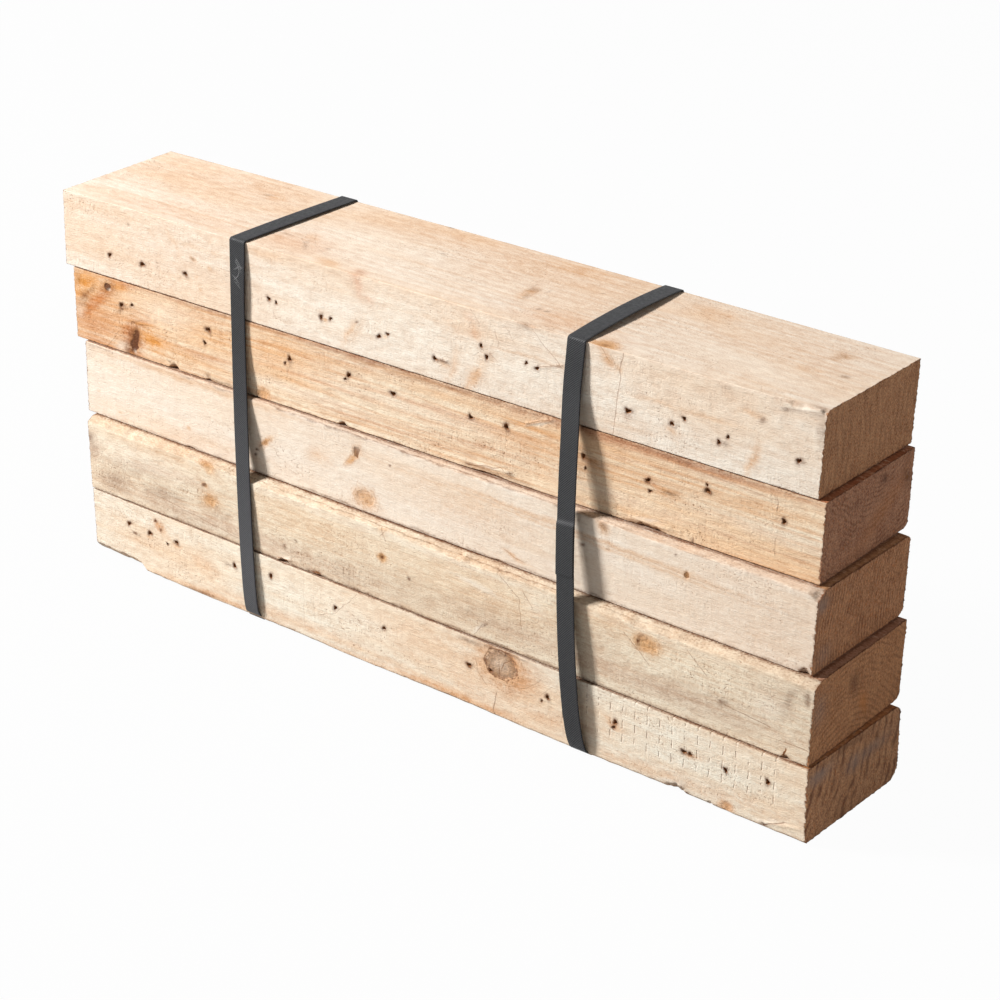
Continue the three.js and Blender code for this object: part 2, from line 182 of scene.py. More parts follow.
def spots(u, v, places, seed):
    """The strength of a stain at each point: for each place (u, v, reach along, reach up,
    strength, and a tilt if it has one), strength * exp(-q), where q is the squared distance
    measured in the tilted reaches. Chance bends the outlines. The strongest place counts."""
    u = u + 1.3 * drift(seed, u / 7, v / 5) + 0.5 * drift(seed + 1, u / 2, v / 1.6)
    v = v + 0.9 * drift(seed + 2, u / 8, v / 4) + 0.4 * drift(seed + 3, u / 2.4, v / 1.3)
    total = np.zeros_like(u)
    for at_u, at_v, reach_u, reach_v, strength, *tilt in places:
        du, dv = in_reaches(u, v, at_u, at_v, reach_u, reach_v, *tilt)
        total = np.maximum(total, strength * np.exp(-(du**2 + dv**2)))
    return total


def from_line(u, v, from_u, from_v, to_u, to_v):
    """Each point's distance to the nearest point of a short straight line, and to the whole
    line, with a sign for its side."""
    long_u, long_v = to_u - from_u, to_v - from_v
    reach = math.hypot(long_u, long_v)
    share = np.clip(((u - from_u) * long_u + (v - from_v) * long_v) / reach**2, 0, 1)
    apart = np.hypot(u - from_u - share * long_u, v - from_v - share * long_v)
    return apart, ((u - from_u) * long_v - (v - from_v) * long_u) / reach


def thin_lines(u, v, lines, seed):
    """Cracks and scratches thinner than the skin's own steps. For lines (u, v, end u, end v,
    strength), gives each point its distance to the nearest one, which has a sign, so that it
    passes through 0 on the line, and strength * exp(-(distance / fade)^2)."""
    u = u + 0.6 * drift(seed + 7, u / 4, v / 4)
    v = v + 0.5 * drift(seed + 8, u / 5, v / 5)
    side, near = np.full(u.shape, LINE_REACH), np.zeros(u.shape)
    for *line, strength in lines:
        apart, across = from_line(u, v, *line)
        side = np.where(apart < np.abs(side), np.copysign(apart, across), side)
        near = np.maximum(near, strength * np.exp(-((apart / LINE_FADE) ** 2)))
    return side, near


def paint_face(marks, chosen, u, v, face, seed):
    """Adds what one face's record says to the marks of the chosen points. knots are (u, v,
    reach along, reach up, tone, and a tilt if it has one): the mark knot is 1 at a knot's heart
    and 0 at its rim, tone is how dark it is, and warp bends the grain around it."""
    for stain in STAINS:
        strength = spots(u, v, face.get(stain, []), seed)
        marks[stain][chosen] = np.maximum(marks[stain][chosen], strength)
    marks["side"][chosen], marks["line"][chosen] = thin_lines(u, v, face.get("lines", []), seed)
    bent_u = u + 0.7 * drift(seed + 5, u / 3, v / 3)
    bent_v = v + 0.7 * drift(seed + 6, u / 3, v / 3)
    for at_u, at_v, reach_u, reach_v, tone, *tilt in face.get("knots", []):
        du, dv = in_reaches(bent_u, bent_v, at_u, at_v, reach_u, reach_v, *tilt)
        inner = np.maximum(1 - np.hypot(du, dv), KNOT_REACH)
        nearer = inner > marks["knot"][chosen]
        marks["knot"][chosen] = np.where(nearer, inner, marks["knot"][chosen])
        marks["tone"][chosen] = np.where(nearer, tone, marks["tone"][chosen])
        bend = np.exp(-((u - at_u) / (3.2 * reach_u)) ** 2 - ((v - at_v) / (2.4 * reach_v)) ** 2)
        marks["warp"][chosen] += 1.3 * bend * (v - at_v) / reach_v


def waned(x, length, left, right, start, stop, wider=1.05):
    """How far a wane reaches up, and wider times as far in, by the place along the stud: a
    straight blend from its left value to its right one, from start to stop percent of the
    length, which swells and shrinks by a fifth."""
    percent = x / length * 100
    share = np.clip((percent - start) / (stop - start), 0, 1)
    inside = ease(percent, start - 1.5, start) * (1 - ease(percent, stop, stop + 1.5))
    swell = 1 + 0.2 * np.sin(2 * np.pi * (x - length / 2) / WANE_WAVE)
    taken = (left + (right - left) * share) * swell * inside
    return np.stack([taken, taken * wider])


def wear_corners(stud, x, y, z):
    """Takes the four long corners off a square section. A point nearer to a corner than the
    reach moves to the curve (1-s)^2 A + 2s(1-s) C + s^2 B, from A on the level face to B on the
    upright one. C is the corner itself where it is only worn round, and lies near the chord
    where wane or a chip has taken it. Gives the new y and z and how much was lost."""
    length, width, height = stud["size"]
    new_y, new_z, lost = y, z, np.zeros(y.shape)
    for number, (side, level) in enumerate(
            (("front", "bottom"), ("front", "top"), ("back", "top"), ("back", "bottom"))):
        seed = stud["seed"] + 10 * number
        worn = 0.5 + 0.12 * np.abs(drift(seed, x / 1.7)) + 0.3 * np.maximum(
            drift(seed + 1, x / 6), 0.2)
        frayed = np.maximum(drift(seed + 2, x / 11), 0) ** 2
        reach_z = reach_y = ARRIS * worn + stud["fray"] * frayed
        flat = np.zeros(x.shape)
        for wane in stud.get("wanes", {}).get((side, level), []):
            tall, deep = waned(x, length, *wane) * (1 + 0.12 * drift(seed + 3, x / 5))
            flat = np.maximum(flat, ease(tall, 0.5, 2))
            reach_z, reach_y = np.maximum(reach_z, tall), np.maximum(reach_y, deep)
        for at, long, deep, tall in stud.get("chips", {}).get((side, level), []):
            share = np.clip(1 - ((x - at) / (long / 2)) ** 2, 0, 1)
            ragged = share * (1 + 0.35 * drift(seed + 4, x / 1.9))
            flat = np.maximum(flat, ease(share, 0, 0.2))
            reach_z = np.maximum(reach_z, tall * ragged)
            reach_y = np.maximum(reach_y, deep * ragged)
        y0, inward = (0.0, 1) if side == "front" else (width, -1)
        z0, upward = (0.0, 1) if level == "bottom" else (height, -1)
        in_y, in_z = np.abs(y - y0), np.abs(z - z0)
        level_side = (in_z == 0) & (in_y < reach_y)
        moved = level_side | (in_y == 0) & (in_z < reach_z)
        s = np.where(level_side, 0.5 - 0.5 * in_y / reach_y, 0.5 + 0.5 * in_z / reach_z)
        held = 2 * s * (1 - s) * CHORD * flat
        new_y = np.where(moved, y0 + inward * reach_y * ((1 - s) ** 2 + held), new_y)
        new_z = np.where(moved, z0 + upward * reach_z * (s**2 + held), new_z)
        lost = np.where(moved, np.maximum(lost, 0.05 + flat), lost)
    return new_y, new_z, lost


def make_stud(stud):
    """One stud as a closed skin of lines. Sizes are in mm; x runs from its left end, y from its
    front face and z from its underside. The skin gathers round the nail holes, the corners are
    worn, the ends are torn by the saw, and the whole is then turned and laid in its place.

    A stud's record says its size, and the place of its front foot on the stack's own axes; how
    dark the grime and painted shade are along its top and along its foot, and how dark the grime
    is at its ends; how far it stands out under the stud above, at its left and its right; how its
    left end, its right end, that one's back and its face lean; how far its back is lifted at the
    left and the right; its nails (x, z, size of hole); by corner, its wanes (as waned takes them)
    and chips (place, length, depth, height); its splinters (from, to, half width, rise); and what
    each face shows."""
    length, width, height = stud["size"]
    seed, top_shown = stud["seed"], "top" in stud
    xs = spaced(length, COLUMN_PITCH, [0, 0.35, 0.75, 1.3], multiple=8)
    zs = spaced(height, ROW_PITCH, [0, 0.25, 0.55, 0.95, 1.45])
    if top_shown:
        ys = spaced(width, TOP_PITCH, [0, 0.3, 0.7, 1.3], [0, 0.5, 1.2])
    else:
        ys = spaced(width, HIDDEN_PITCH, [0, 0.3, 0.7, 1.2, 1.9, 2.7, 3.6, 4.8, 6.2, 7.8],
                    [0, 0.5, 1.2, 2.2])
    along, across, up = len(xs) - 1, len(ys) - 1, len(zs) - 1
    line_y = np.concatenate([np.zeros(up), ys[:-1], np.full(up, width), ys[:0:-1]])
    line_z = np.concatenate([zs[:-1], np.full(across, height), zs[:0:-1], np.zeros(across)])
    keep = np.full(len(line_y), 4)
    keep[: up + EDGE_LINES] = keep[-EDGE_LINES:] = 1
    if top_shown:
        keep[up + EDGE_LINES : up + across + 1] = 2
    faces, ends = bar_faces(along, across, up, keep)

    # The skin gathers round the nail holes, so that their mouths come out round.
    x, y = np.meshgrid(xs, line_y, indexing="ij")
    z = np.broadcast_to(line_z, x.shape)
    front = (y == 0) & (z > 0) & (z < height)
    free = front & (x > 0) & (x < length)
    for at_x, at_z, _ in stud.get("nails", []):
        dx, dz = x - at_x, z - at_z
        gather = free * NAIL_PULL * np.exp(-(dx**2 + dz**2) / PULL_REACH**2)
        x, z = x - dx * gather, z - dz * gather
    marks = {name: np.full(x.size, value) for name, value in PLAIN_MARKS.items()}

    def raise_mark(name, values):
        """Where the new values of a mark are greater than its own, it takes them."""
        marks[name] = np.maximum(marks[name], values.ravel())

    # Grime and painted shade lie along the contact lines and, as painted shade only, on the bare
    #     # ledges under the stud above; grime darkens the ends.
    above, below, ends_dirt = stud["dirt_and_shade"]
    left, right = stud["ledge"]
    on_top = z == height
    contact = left + (right - left) * x / length
    in_z = np.maximum(below * np.exp(-z / DARKENING_FADE), above * np.exp(-(height - z) / 1.5))
    dirt_and_shade = in_z * np.where(y == width, 0.6, 0.7 + 0.45 * drift(seed + 9, x / 7))
    dirt_and_shade = np.where(z == 0, below * np.exp(-np.minimum(y, width - y) / 3), dirt_and_shade)
    # The bare ledges get painted shade, darkest at the contact with the stud above.
    bare = np.where(y < contact, (contact - y) / (1.2 + 0.35 * contact), 0)
    bare = np.maximum(bare, (x - length + OVERHANG) / DARKENING_FADE)
    dirt_and_shade = np.where(on_top & (y < width), np.exp(-bare), dirt_and_shade)
    if top_shown:
        dirt_and_shade = np.where(on_top, 0.5 * np.exp(-(width - y) / 1.5), dirt_and_shade)
    reach = np.where(x > length / 2, 1.5 + 1.7 * np.maximum(drift(seed + 19, z / 2.4), -0.4), 1.0)
    raise_mark("edge", np.maximum(dirt_and_shade, ends_dirt * np.exp(-np.minimum(x, length - x) / reach)))
    for face, chosen, second in (("front", y == 0, z), ("top", on_top, y)):
        if face in stud:
            paint_face(marks, chosen.ravel(), x[chosen], second[chosen], stud[face], seed)

    # Relief of the front: fibres and saw marks, nail holes, dished knots and lifted splinters.
    inward = -0.05 * drift(seed + 20, x / 5, z / 0.9) - 0.04 * drift(seed + 21, x / 1.5, z / 7)
    for number, (at_x, at_z, size) in enumerate(stud.get("nails", [])):
        dx, dz = x - at_x, z - at_z
        angle = np.arctan2(dz, dx)
        lobes = 1 + 0.2 * np.sin(2 * angle + number) + 0.16 * np.sin(3 * angle + 2.3 * number)
        apart = np.hypot(dx, dz) / (HOLE_RADIUS * size * lobes)
        inward += NAIL_DEPTH * (1 - ease(apart, 0.55, 1.15))
        raise_mark("black", front * np.clip(1.65 - apart, 0, 1))
        raise_mark("brown", front * (apart < 3.5) * 0.85 * np.exp(-((apart - 1.3) ** 2)))
    # Painted shade on the ledges under the stud above: red-brown and brown beyond its right end,
    # and brown in front of it, darkest at the contact.
    if not top_shown:
        overhang_shade = on_top * ease(x - length + OVERHANG, -3.7, -1.2) * ease(y - contact, -1, 0)
        raise_mark("heart", 1.2 * overhang_shade)
        raise_mark("brown", 0.35 * overhang_shade)
        ledge = on_top & (y < contact)
        raise_mark("brown", ledge * (0.3 + 0.55 * np.exp(-np.abs(contact - y) / 1.4)))
    black, knot = marks["black"].reshape(x.shape), marks["knot"].reshape(x.shape)
    inward += 0.35 * black**2 + 0.25 * ease(knot, -0.05, 0.1) * (1 + drift(seed + 22, x, z))
    for *line, half_width, rise in stud.get("splinters", []):
        apart, _ = from_line(x, z, *line)
        inward -= rise * np.exp(-((apart / half_width) ** 2))
    new_y, new_z, lost = wear_corners(stud, x, y, z)
    raise_mark("resin", stud["bark"] * lost * (0.6 + 0.4 * drift(seed + 23, x / 9, y / 30)))
    raise_mark("brown", 0.3 * np.minimum(lost, 1))
    bumps = 0.05 * drift(seed + 25, x / 4, y / 1.3)
    new_z = np.where(on_top & (lost == 0), new_z - 0.06 + bumps, new_z)
    skin = np.stack([x, new_y + front * inward, new_z], axis=-1)

    # The rings' last points draw back where the saw has torn the end.
    from_end = np.minimum(xs, length - xs)[:, None]
    ring_at = line_y + 3 * line_z
    tear = 0.35 + 0.35 * drift(seed + 26, ring_at / 0.9) + 0.5 * np.maximum(
        drift(seed + 27, ring_at / 4.3), 0)
    tear = np.maximum(tear, 0) * stud["tear"] * np.exp(-((from_end / 0.9) ** 2))
    ragged = (line_y == 0) * np.maximum(drift(seed + 28, line_z / 2.1), 0)
    tear += 0.9 * ragged * stud["tear"] * np.exp(-((from_end / 1.1) ** 2)) * (x > length / 2)
    skin[..., 0] += np.where(x < length / 2, tear, -tear)

    # The ends fill in between the ring's points, blended from two sides and then, for what that
    # leaves over, from the other two. They carry the saw's marks.
    inside = []
    flat_skin = skin.reshape(-1, 3)
    u, v = (share[..., None] for share in np.meshgrid(ys / width, zs / height, indexing="ij"))
    for number, grid in enumerate(ends):
        rim = np.zeros(grid.shape + (3,))
        on_rim = grid < x.size
        rim[on_rim] = flat_skin[grid[on_rim]]
        upright = rim[:1] * (1 - u) + rim[-1:] * u
        rest = rim - upright
        fill = upright + rest[:, :1] * (1 - v) + rest[:, -1:] * v
        end_y, end_z = fill[..., 1], fill[..., 2]
        depth = (0.35 * stud["tear"] + 0.16 * drift(seed + 30 + number, end_y / 1.4, end_z / 9)
                 + 0.12 * drift(seed + 32 + number, end_y / 1.7, end_z / 1.6))
        fill[..., 0] = length - depth if number else depth
        inside.append(fill[1:-1, 1:-1].reshape(-1, 3))
        marks["cut"][grid[on_rim]] = 0.5
    points = np.concatenate([flat_skin] + inside)
    for name, value in PLAIN_MARKS.items():
        marks[name] = np.concatenate([marks[name], np.full(len(points) - x.size, value)])
    marks["cut"][x.size :] = 1
    _, end_y, end_z = points[x.size :].T
    to_rim = np.minimum.reduce([end_y + 1, width - end_y, end_z, height - end_z])
    marks["edge"][x.size :] = np.exp(-to_rim / DARKENING_FADE)
    right_end = slice(len(points) - len(inside[1]), None)
    paint_face(marks, right_end, *points[right_end, 1:].T, stud.get("end", {}), seed + 40)

    # The end cuts lean a little, and so does the face; then the stud is turned and laid.
    left, right, back, face = stud["lean"]
    left_lift, right_lift = stud.get("lift", (0, 0))
    point_x, point_y, point_z = points.T
    foot = 1 - point_z / height
    share = np.clip(point_x / length, 0, 1)
    lifted = (left_lift + (right_lift - left_lift) * share**2) * point_y / width
    place = point_x - length / 2
    drawn = np.where(place < 0, -left * foot, -right * foot + back * point_y / width)
    place += drawn * np.abs(place) / (length / 2)
    depth = point_y + face * foot
    turn = math.radians(stud["turn"])
    laid = np.stack([place * math.cos(turn) - depth * math.sin(turn),
                     place * math.sin(turn) + depth * math.cos(turn), point_z + lifted], axis=-1)
    laid += np.add(stud["place"], STACK_ORIGIN)
    made = make_mesh(stud["name"] + "_wood", laid, faces, marks, SHARP_WOOD)
    made.data.materials.append(pine(stud))
    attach(made, "root")
    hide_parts(stud["name"])


class Wire:
    """A value in a shader tree. Arithmetic on wires adds the nodes that work it out."""

    def __init__(self, socket):
        self.socket, self.tree = socket, socket.id_data

    def __add__(self, other):
        return calc("ADD", self, other)

    def __sub__(self, other):
        return calc("SUBTRACT", self, other)

    def __mul__(self, other):
        return calc("MULTIPLY", self, other)

    def __pow__(self, other):
        return calc("POWER", self, other)

    def __abs__(self):
        return calc("ABSOLUTE", self)


def feed(socket, value):
    """Gives a socket a wire or a number. A colour of three parts is written in 0 to 255, and
    one of four parts is linear. None leaves the socket as it is."""
    if isinstance(value, Wire):
        socket.id_data.links.new(value.socket, socket)
    elif value is not None and socket.type == "RGBA" and len(value) == 3:
        part = np.array(value) / 255
        linear = np.where(part <= 0.04045, part / 12.92, ((part + 0.055) / 1.055) ** 2.4)
        socket.default_value = (*linear.tolist(), 1.0)
    elif value is not None:
        socket.default_value = value


def join(tree, kind, *inputs, out=0, named=(), **settings):
    """Adds a node to a shader tree. The inputs fill its sockets in order, and the named ones
    by name. Gives the output that out numbers or names, if it has any."""
    node = tree.nodes.new("ShaderNode" + kind)
    for name, value in settings.items():
        setattr(node, name, value)
    for socket, value in zip(node.inputs, inputs):
        feed(socket, value)
    for name, value in dict(named).items():
        feed(node.inputs[name], value)
    return Wire(node.outputs[out]) if node.outputs else None


def calc(operation, first, *rest):
    """One step of arithmetic."""
    return join(first.tree, "Math", first, *rest, operation=operation)


def clamp(value):
    """A value held between 0 and 1."""
    return join(value.tree, "Clamp", value)


def chance(vector, stretch, detail=2.0, roughness=0.5):
    """Noise whose grain is stretched: 1 unit of noise is 1 / stretch metres along each axis."""
    scaled = join(vector.tree, "VectorMath", vector, stretch, operation="MULTIPLY")
    return join(vector.tree, "TexNoise", scaled, None, 1.0, detail, roughness)


def span(value, low, high, to_low=0.0, to_high=1.0):
    """Value carried from low..high to to_low..to_high, held at both ends, with eased turns."""
    return join(value.tree, "MapRange", value, low, high, to_low, to_high,
                interpolation_type="SMOOTHSTEP")


def blend(share, first, second, how="MIX"):
    """Two colours blended, a share of the second over the first."""
    node = share.tree.nodes.new("ShaderNodeMix")
    node.data_type, node.blend_type = "RGBA", how
    for number, value in ((0, share), (6, first), (7, second)):
        feed(node.inputs[number], value)
    return Wire(node.outputs[2])


def layered(colour, *layers):
    """A colour with others laid over it in turn, each (share, colour)."""
    for share, over in layers:
        colour = blend(share, colour, over)
    return colour


def shader_group(name, inputs, outputs):
    """An empty shader group, whose sockets carry numbers, a Vector or a Color. Gives what it is
    given, and the sockets that its results go to, by name."""
    tree = bpy.data.node_groups.new(name, "ShaderNodeTree")
    for way, sockets in (("INPUT", inputs), ("OUTPUT", outputs)):
        for socket in sockets.split():
            kind = socket if socket in ("Vector", "Color") else "Float"
            tree.interface.new_socket(name=socket, in_out=way, socket_type="NodeSocket" + kind)
    given = tree.nodes.new("NodeGroupInput").outputs
    outlet = tree.nodes.new("NodeGroupOutput").inputs
    return (*(Wire(given[socket]) for socket in inputs.split()), outlet)


def use_group(tree, name, *values):
    """Puts a group into a tree with its own values, in order, and gives its outputs in order."""
    node = tree.nodes.new("ShaderNodeGroup")
    node.node_tree = bpy.data.node_groups[name]
    for socket, value in zip(node.inputs, values):
        feed(socket, value)
    return [Wire(socket) for socket in node.outputs]


def new_tree(owner):
    """The emptied shader tree of a material or a world."""
    owner.use_nodes = True
    owner.node_tree.nodes.clear()
    return owner.node_tree


def finish_surface(tree, colour, roughness, shine, height, relief):
    """The surface of a material. The height is in mm, and relief is how much of it shows."""
    bump = join(tree, "Bump", named={"Strength": relief, "Distance": MM, "Height": height})
    surface = join(tree, "BsdfPrincipled", named={
        "Base Color": colour, "Roughness": roughness, "Specular IOR Level": shine,
        "Normal": bump})
    join(tree, "OutputMaterial", surface)


def build_growth_rings():
    """Yearly rings round the X axis, where late = (0.5 + 0.5 sin)^2, bent by slow chance so
    that a long face shows them as wandering lines, which come and go along the stud. Wave
    number 20 * scale * distance, so scale = 2 pi / 20 / spacing."""
    vector, warp, spacing, sway, result = shader_group(
        "growth_rings", "Vector Warp Spacing Sway", "Late")
    phase = (chance(vector, (4.0, 30.0, 30.0)) * sway
             + chance(vector, (2.0, 110.0, 110.0), 1.0) * 6.0 + warp * 4.0)
    wave = join(vector.tree, "TexWave", out="Fac", named={
        "Vector": vector, "Scale": spacing**-1.0 * (math.pi / 10), "Distortion": 0.0,
        "Phase Offset": phase}, wave_type="RINGS", rings_direction="X", wave_profile="SIN")
    shown = span(chance(vector, (13.0, 90.0, 90.0)), 0.36, 0.62, 0.1)
    feed(result["Late"], wave**2.0 * shown)


def build_saw_fibres():
    """What the saw leaves on a long face. Streak is the long fibres. Shade is how much darker
    each crumb of the torn skin is: soft mottle, hair-fine fibres, crumbs a millimetre across
    and the teeth's upright marks. Ragged breaks up whatever it is added to. The height is in
    mm."""
    vector, coarse_share, fine_share, result = shader_group(
        "saw_fibres", "Vector Coarse Fine", "Streak Shade Ragged Fleck Height")
    mottle = chance(vector, (120.0, 260.0, 260.0), 3.0, 0.62)
    hair = chance(vector, (150.0, 1500.0, 1500.0), 2.0, 0.6)
    crumb = chance(vector, (760.0, 1100.0, 1100.0), 2.0, 0.65)
    teeth = chance(vector, (1000.0, 120.0, 120.0), 2.0, 0.6)
    patch = chance(vector, (22.0, 55.0, 55.0), 2.0, 0.6)
    sawn = span(patch, 0.4, 0.62) * 0.6
    fine = (teeth - 0.5) * sawn + (hair + crumb - 1.0)
    torn = span(crumb, 0.62, 0.72) * span(patch, 0.46, 0.66)
    feed(result["Streak"], chance(vector, (8.0, 340.0, 340.0), 3.0, 0.62))
    feed(result["Shade"], clamp((mottle - 0.5) * coarse_share + fine * fine_share + 0.13))
    feed(result["Ragged"], mottle * 0.4 + crumb * 0.6)
    feed(result["Fleck"], torn)
    feed(result["Height"], torn * -0.2 + mottle * -0.3 + fine * -0.24)


def build_rough_cut():
    """A cross-cut end: the saw's scores, crushed fibres and reddish pores. The height is in
    mm."""
    vector, result = shader_group("rough_cut", "Vector", "Mottle Pore Height")
    score = chance(vector, (60.0, 420.0, 150.0), 3.0, 0.7)
    crush = chance(vector, (300.0, 1300.0, 800.0), 3.0, 0.75)
    patch = chance(vector, (60.0, 90.0, 90.0), 2.0, 0.6)
    pore = chance(vector, (300.0, 800.0, 700.0), 2.0, 0.6)
    feed(result["Mottle"], patch * 0.12 + score * 0.2 + crush * 0.68)
    feed(result["Pore"], span(pore, 0.55, 0.68))
    feed(result["Height"], score * 0.5 + crush * 0.9)


def build_knot_figure():
    """A knot, from the mark that is 1 at its heart and 0 at its rim. A pale one is only a soft
    tint with a few arcs of grain; a dark one is a disc of tight rings with a broken rim."""
    vector, knot, tone, result = shader_group(
        "knot_figure", "Vector Knot Tone", "Share Arc Halo Color")
    broken = chance(vector, (300.0, 300.0, 300.0), 3.0, 0.65) - 0.5
    edge = broken * 1.5 + knot
    firm = span(tone, 0.08, 0.45)
    soft, crisp = span(edge, -0.5, 0.7, 0.0, 0.45), span(edge, -0.15, 0.25)
    ripple = span(calc("SINE", edge * 24.0), -1.0, 1.0)
    arc = span(calc("SINE", edge * 15.0), 0.2, 1.0)
    rim = span(edge, -0.06, 0.06) * span(edge, 0.1, 0.3, 1, 0)
    pale = blend(ripple, (226, 180, 130), (200, 148, 98))
    dark = blend(ripple, (134, 82, 54), (62, 34, 26))
    feed(result["Share"], (crisp - soft) * firm + soft)
    feed(result["Arc"], arc * span(edge, -1.5, -0.2) * span(broken, -0.1, 0.1))
    feed(result["Halo"], span(edge, -1.0, 0.1))
    feed(result["Color"], layered(pale, (tone, dark), (rim * firm * 0.8, (96, 54, 32))))


DASH_PITCH, DASH_ROWS = 7.9, 8.3  # between the columns, and between the rows


def roller_dashes(place, first, last, foot):
    """Upright dashes that the toothed feed roller pressed into the front, in columns and rows:
    a dark line with a pale lip beside it. Gives both masks."""
    in_mm = join(place.tree, "VectorMath", place, (1000.0, 1000.0, 1000.0), operation="MULTIPLY")
    x, y, z = (join(place.tree, "SeparateXYZ", in_mm, out=axis) for axis in range(3))
    waver = chance(place, (200.0, 200.0, 200.0), 1.0) * 1.2
    column = calc("WRAP", x - first + waver, DASH_PITCH / 2, -DASH_PITCH / 2)
    row = abs(calc("WRAP", z - foot, DASH_ROWS / 2, -DASH_ROWS / 2))
    patchy = span(chance(place, (160.0, 160.0, 300.0), 1.0), 0.36, 0.55)
    shown = (span(row, 2.3, 2.8, 1, 0) * span(x, first - 6, first) * span(x, last, last + 4, 1, 0)
             * span(y, -44, -42, 1, 0) * span(z, foot - 4, foot - 3) * patchy)
    return (shown * span(abs(column), 0.15, 0.5, 1, 0),
            shown * span(abs(column - 0.75), 0.15, 0.5, 1, 0))


for build in (build_growth_rings, build_saw_fibres, build_rough_cut, build_knot_figure):
    build()


def pine(stud):
    """The stud's wood: rings and streaks in its own colours, stains and knots, all of it
    mottled by the torn fibres, then grime and painted shade along the corners and on the ledges
    under the stud above, cracks, holes, and the dark rough end grain where it was cross-cut. In
    the look, pith is where the log's middle lies from the stud's front foot, in mm along Y and Z,
    and how it slopes along Y and Z, in degrees; ring is the spacing of the rings in mm, sway how
    much they wander, and roller the first and last places and the foot of the feed roller's
    dashes. The other values are strengths."""
    look = stud["look"]
    colours = {"grey": (160, 142, 130), **stud["colours"]}
    material = bpy.data.materials.new(stud["name"] + "_pine")
    tree = new_tree(material)
    mark = {name: join(tree, "Attribute", out=2, attribute_name=name) for name in PLAIN_MARKS}
    place = join(tree, "TexCoord", out=3)
    shifted = join(tree, "VectorMath", place, (0.37 * stud["seed"] / 100, 0.0, 0.0),
                   operation="ADD")
    pith_y, pith_z, slope_y, slope_z = look["pith"]
    centred = join(tree, "Mapping", place, (
        0.0,
        -(pith_y + stud["place"][1] + STACK_ORIGIN[1]) * MM,
        -(pith_z + stud["place"][2]) * MM,
    ), (0.0, math.radians(slope_z), math.radians(slope_y)))
    (rings,) = use_group(tree, "growth_rings", centred, mark["warp"], look["ring"] * MM,
                         look["sway"])
    streak, shade, ragged, fleck, height = use_group(
        tree, "saw_fibres", shifted, look["coarse"], look["fine"])
    mottle, pore, end_height = use_group(tree, "rough_cut", place)
    knot_share, arc, halo, knot_colour = use_group(
        tree, "knot_figure", place, mark["knot"], mark["tone"])
    cloud = chance(shifted, (9.0, 34.0, 34.0), 3.0)
    speckle = chance(shifted, (240.0, 520.0, 520.0), 3.0, 0.7)
    streak = (streak - 0.5) * look["streak"]

    broken = (streak * 0.5 + ragged) * 1.9 - 0.05
    stain = {name: clamp(mark[name] * broken) for name in STAINS if name != "black"}
    late = clamp(streak + rings * look["ring_strength"] + 0.12)
    wood = layered(
        colours["early"], (late, colours["late"]),
        (span(cloud, 0.38, 0.68, 0.0, look["cloudy"]), colours["cloud"]),
        (stain["heart"], colours["heart"]), (stain["resin"], colours["resin"]),
        (stain["grey"], colours["grey"]), (halo * 0.4, colours["resin"]),
        (arc * 0.45, (176, 120, 74)), (knot_share, knot_colour),
        (stain["brown"], (112, 68, 40)), (stain["pale"], (255, 243, 226)))
    wood = blend(shade, wood, (188, 142, 98), "MULTIPLY")
    wood = blend(fleck * look["fleck"], wood, (150, 98, 60))
    if "roller" in look:
        dark, lip = roller_dashes(place, *look["roller"])
        wood = layered(wood, (dark * 0.3, (150, 96, 56)), (lip * 0.35, (255, 246, 232)))
        height = dark * -0.3 + height

    thin = span(speckle * 0.5 + abs(mark["side"]), 0.3, 0.7, 0.7, 0) * mark["line"] ** 1.6
    # Brown along the corners and joints: grime, and painted shade at the contact lines and ledges.
    dirt_and_shade = span((ragged - 0.5) * 1.6 + mark["edge"], 0.4, 1.1) * look["dirt_and_shade"]
    wood = layered(wood, (clamp(thin), (140, 88, 52)), (dirt_and_shade, (122, 76, 46)))
    outline = (mottle - 0.5) * -2.5 + mark["edge"]
    ends = layered(
        colours["end_dark"], (span(mottle, 0.36, 0.62), colours["end_pale"]),
        (rings * look["end_ring"], (96, 58, 36)), (pore * 0.5, (196, 116, 62)),
        (mark["grey"] * 0.7, (150, 134, 126)), (mark["resin"] * 0.8, (206, 132, 74)),
        (mark["brown"] * 0.8, (78, 48, 32)), (span(outline, 0.5, 1.1, 0.0, 0.75), (70, 42, 28)))
    cut = span(mark["cut"], 0.45, 0.75)
    hole = span((speckle - 0.5) * 0.7 + mark["black"], 0.3, 0.5)
    wood = layered(wood, (cut, ends), (hole, (140, 92, 54)))
    height = thin * -0.12 + height
    finish_surface(tree, wood, span(ragged, 0.3, 0.7, 0.74, 0.92), 0.2,
                   (end_height - height) * cut + height, look["relief"])
    return material


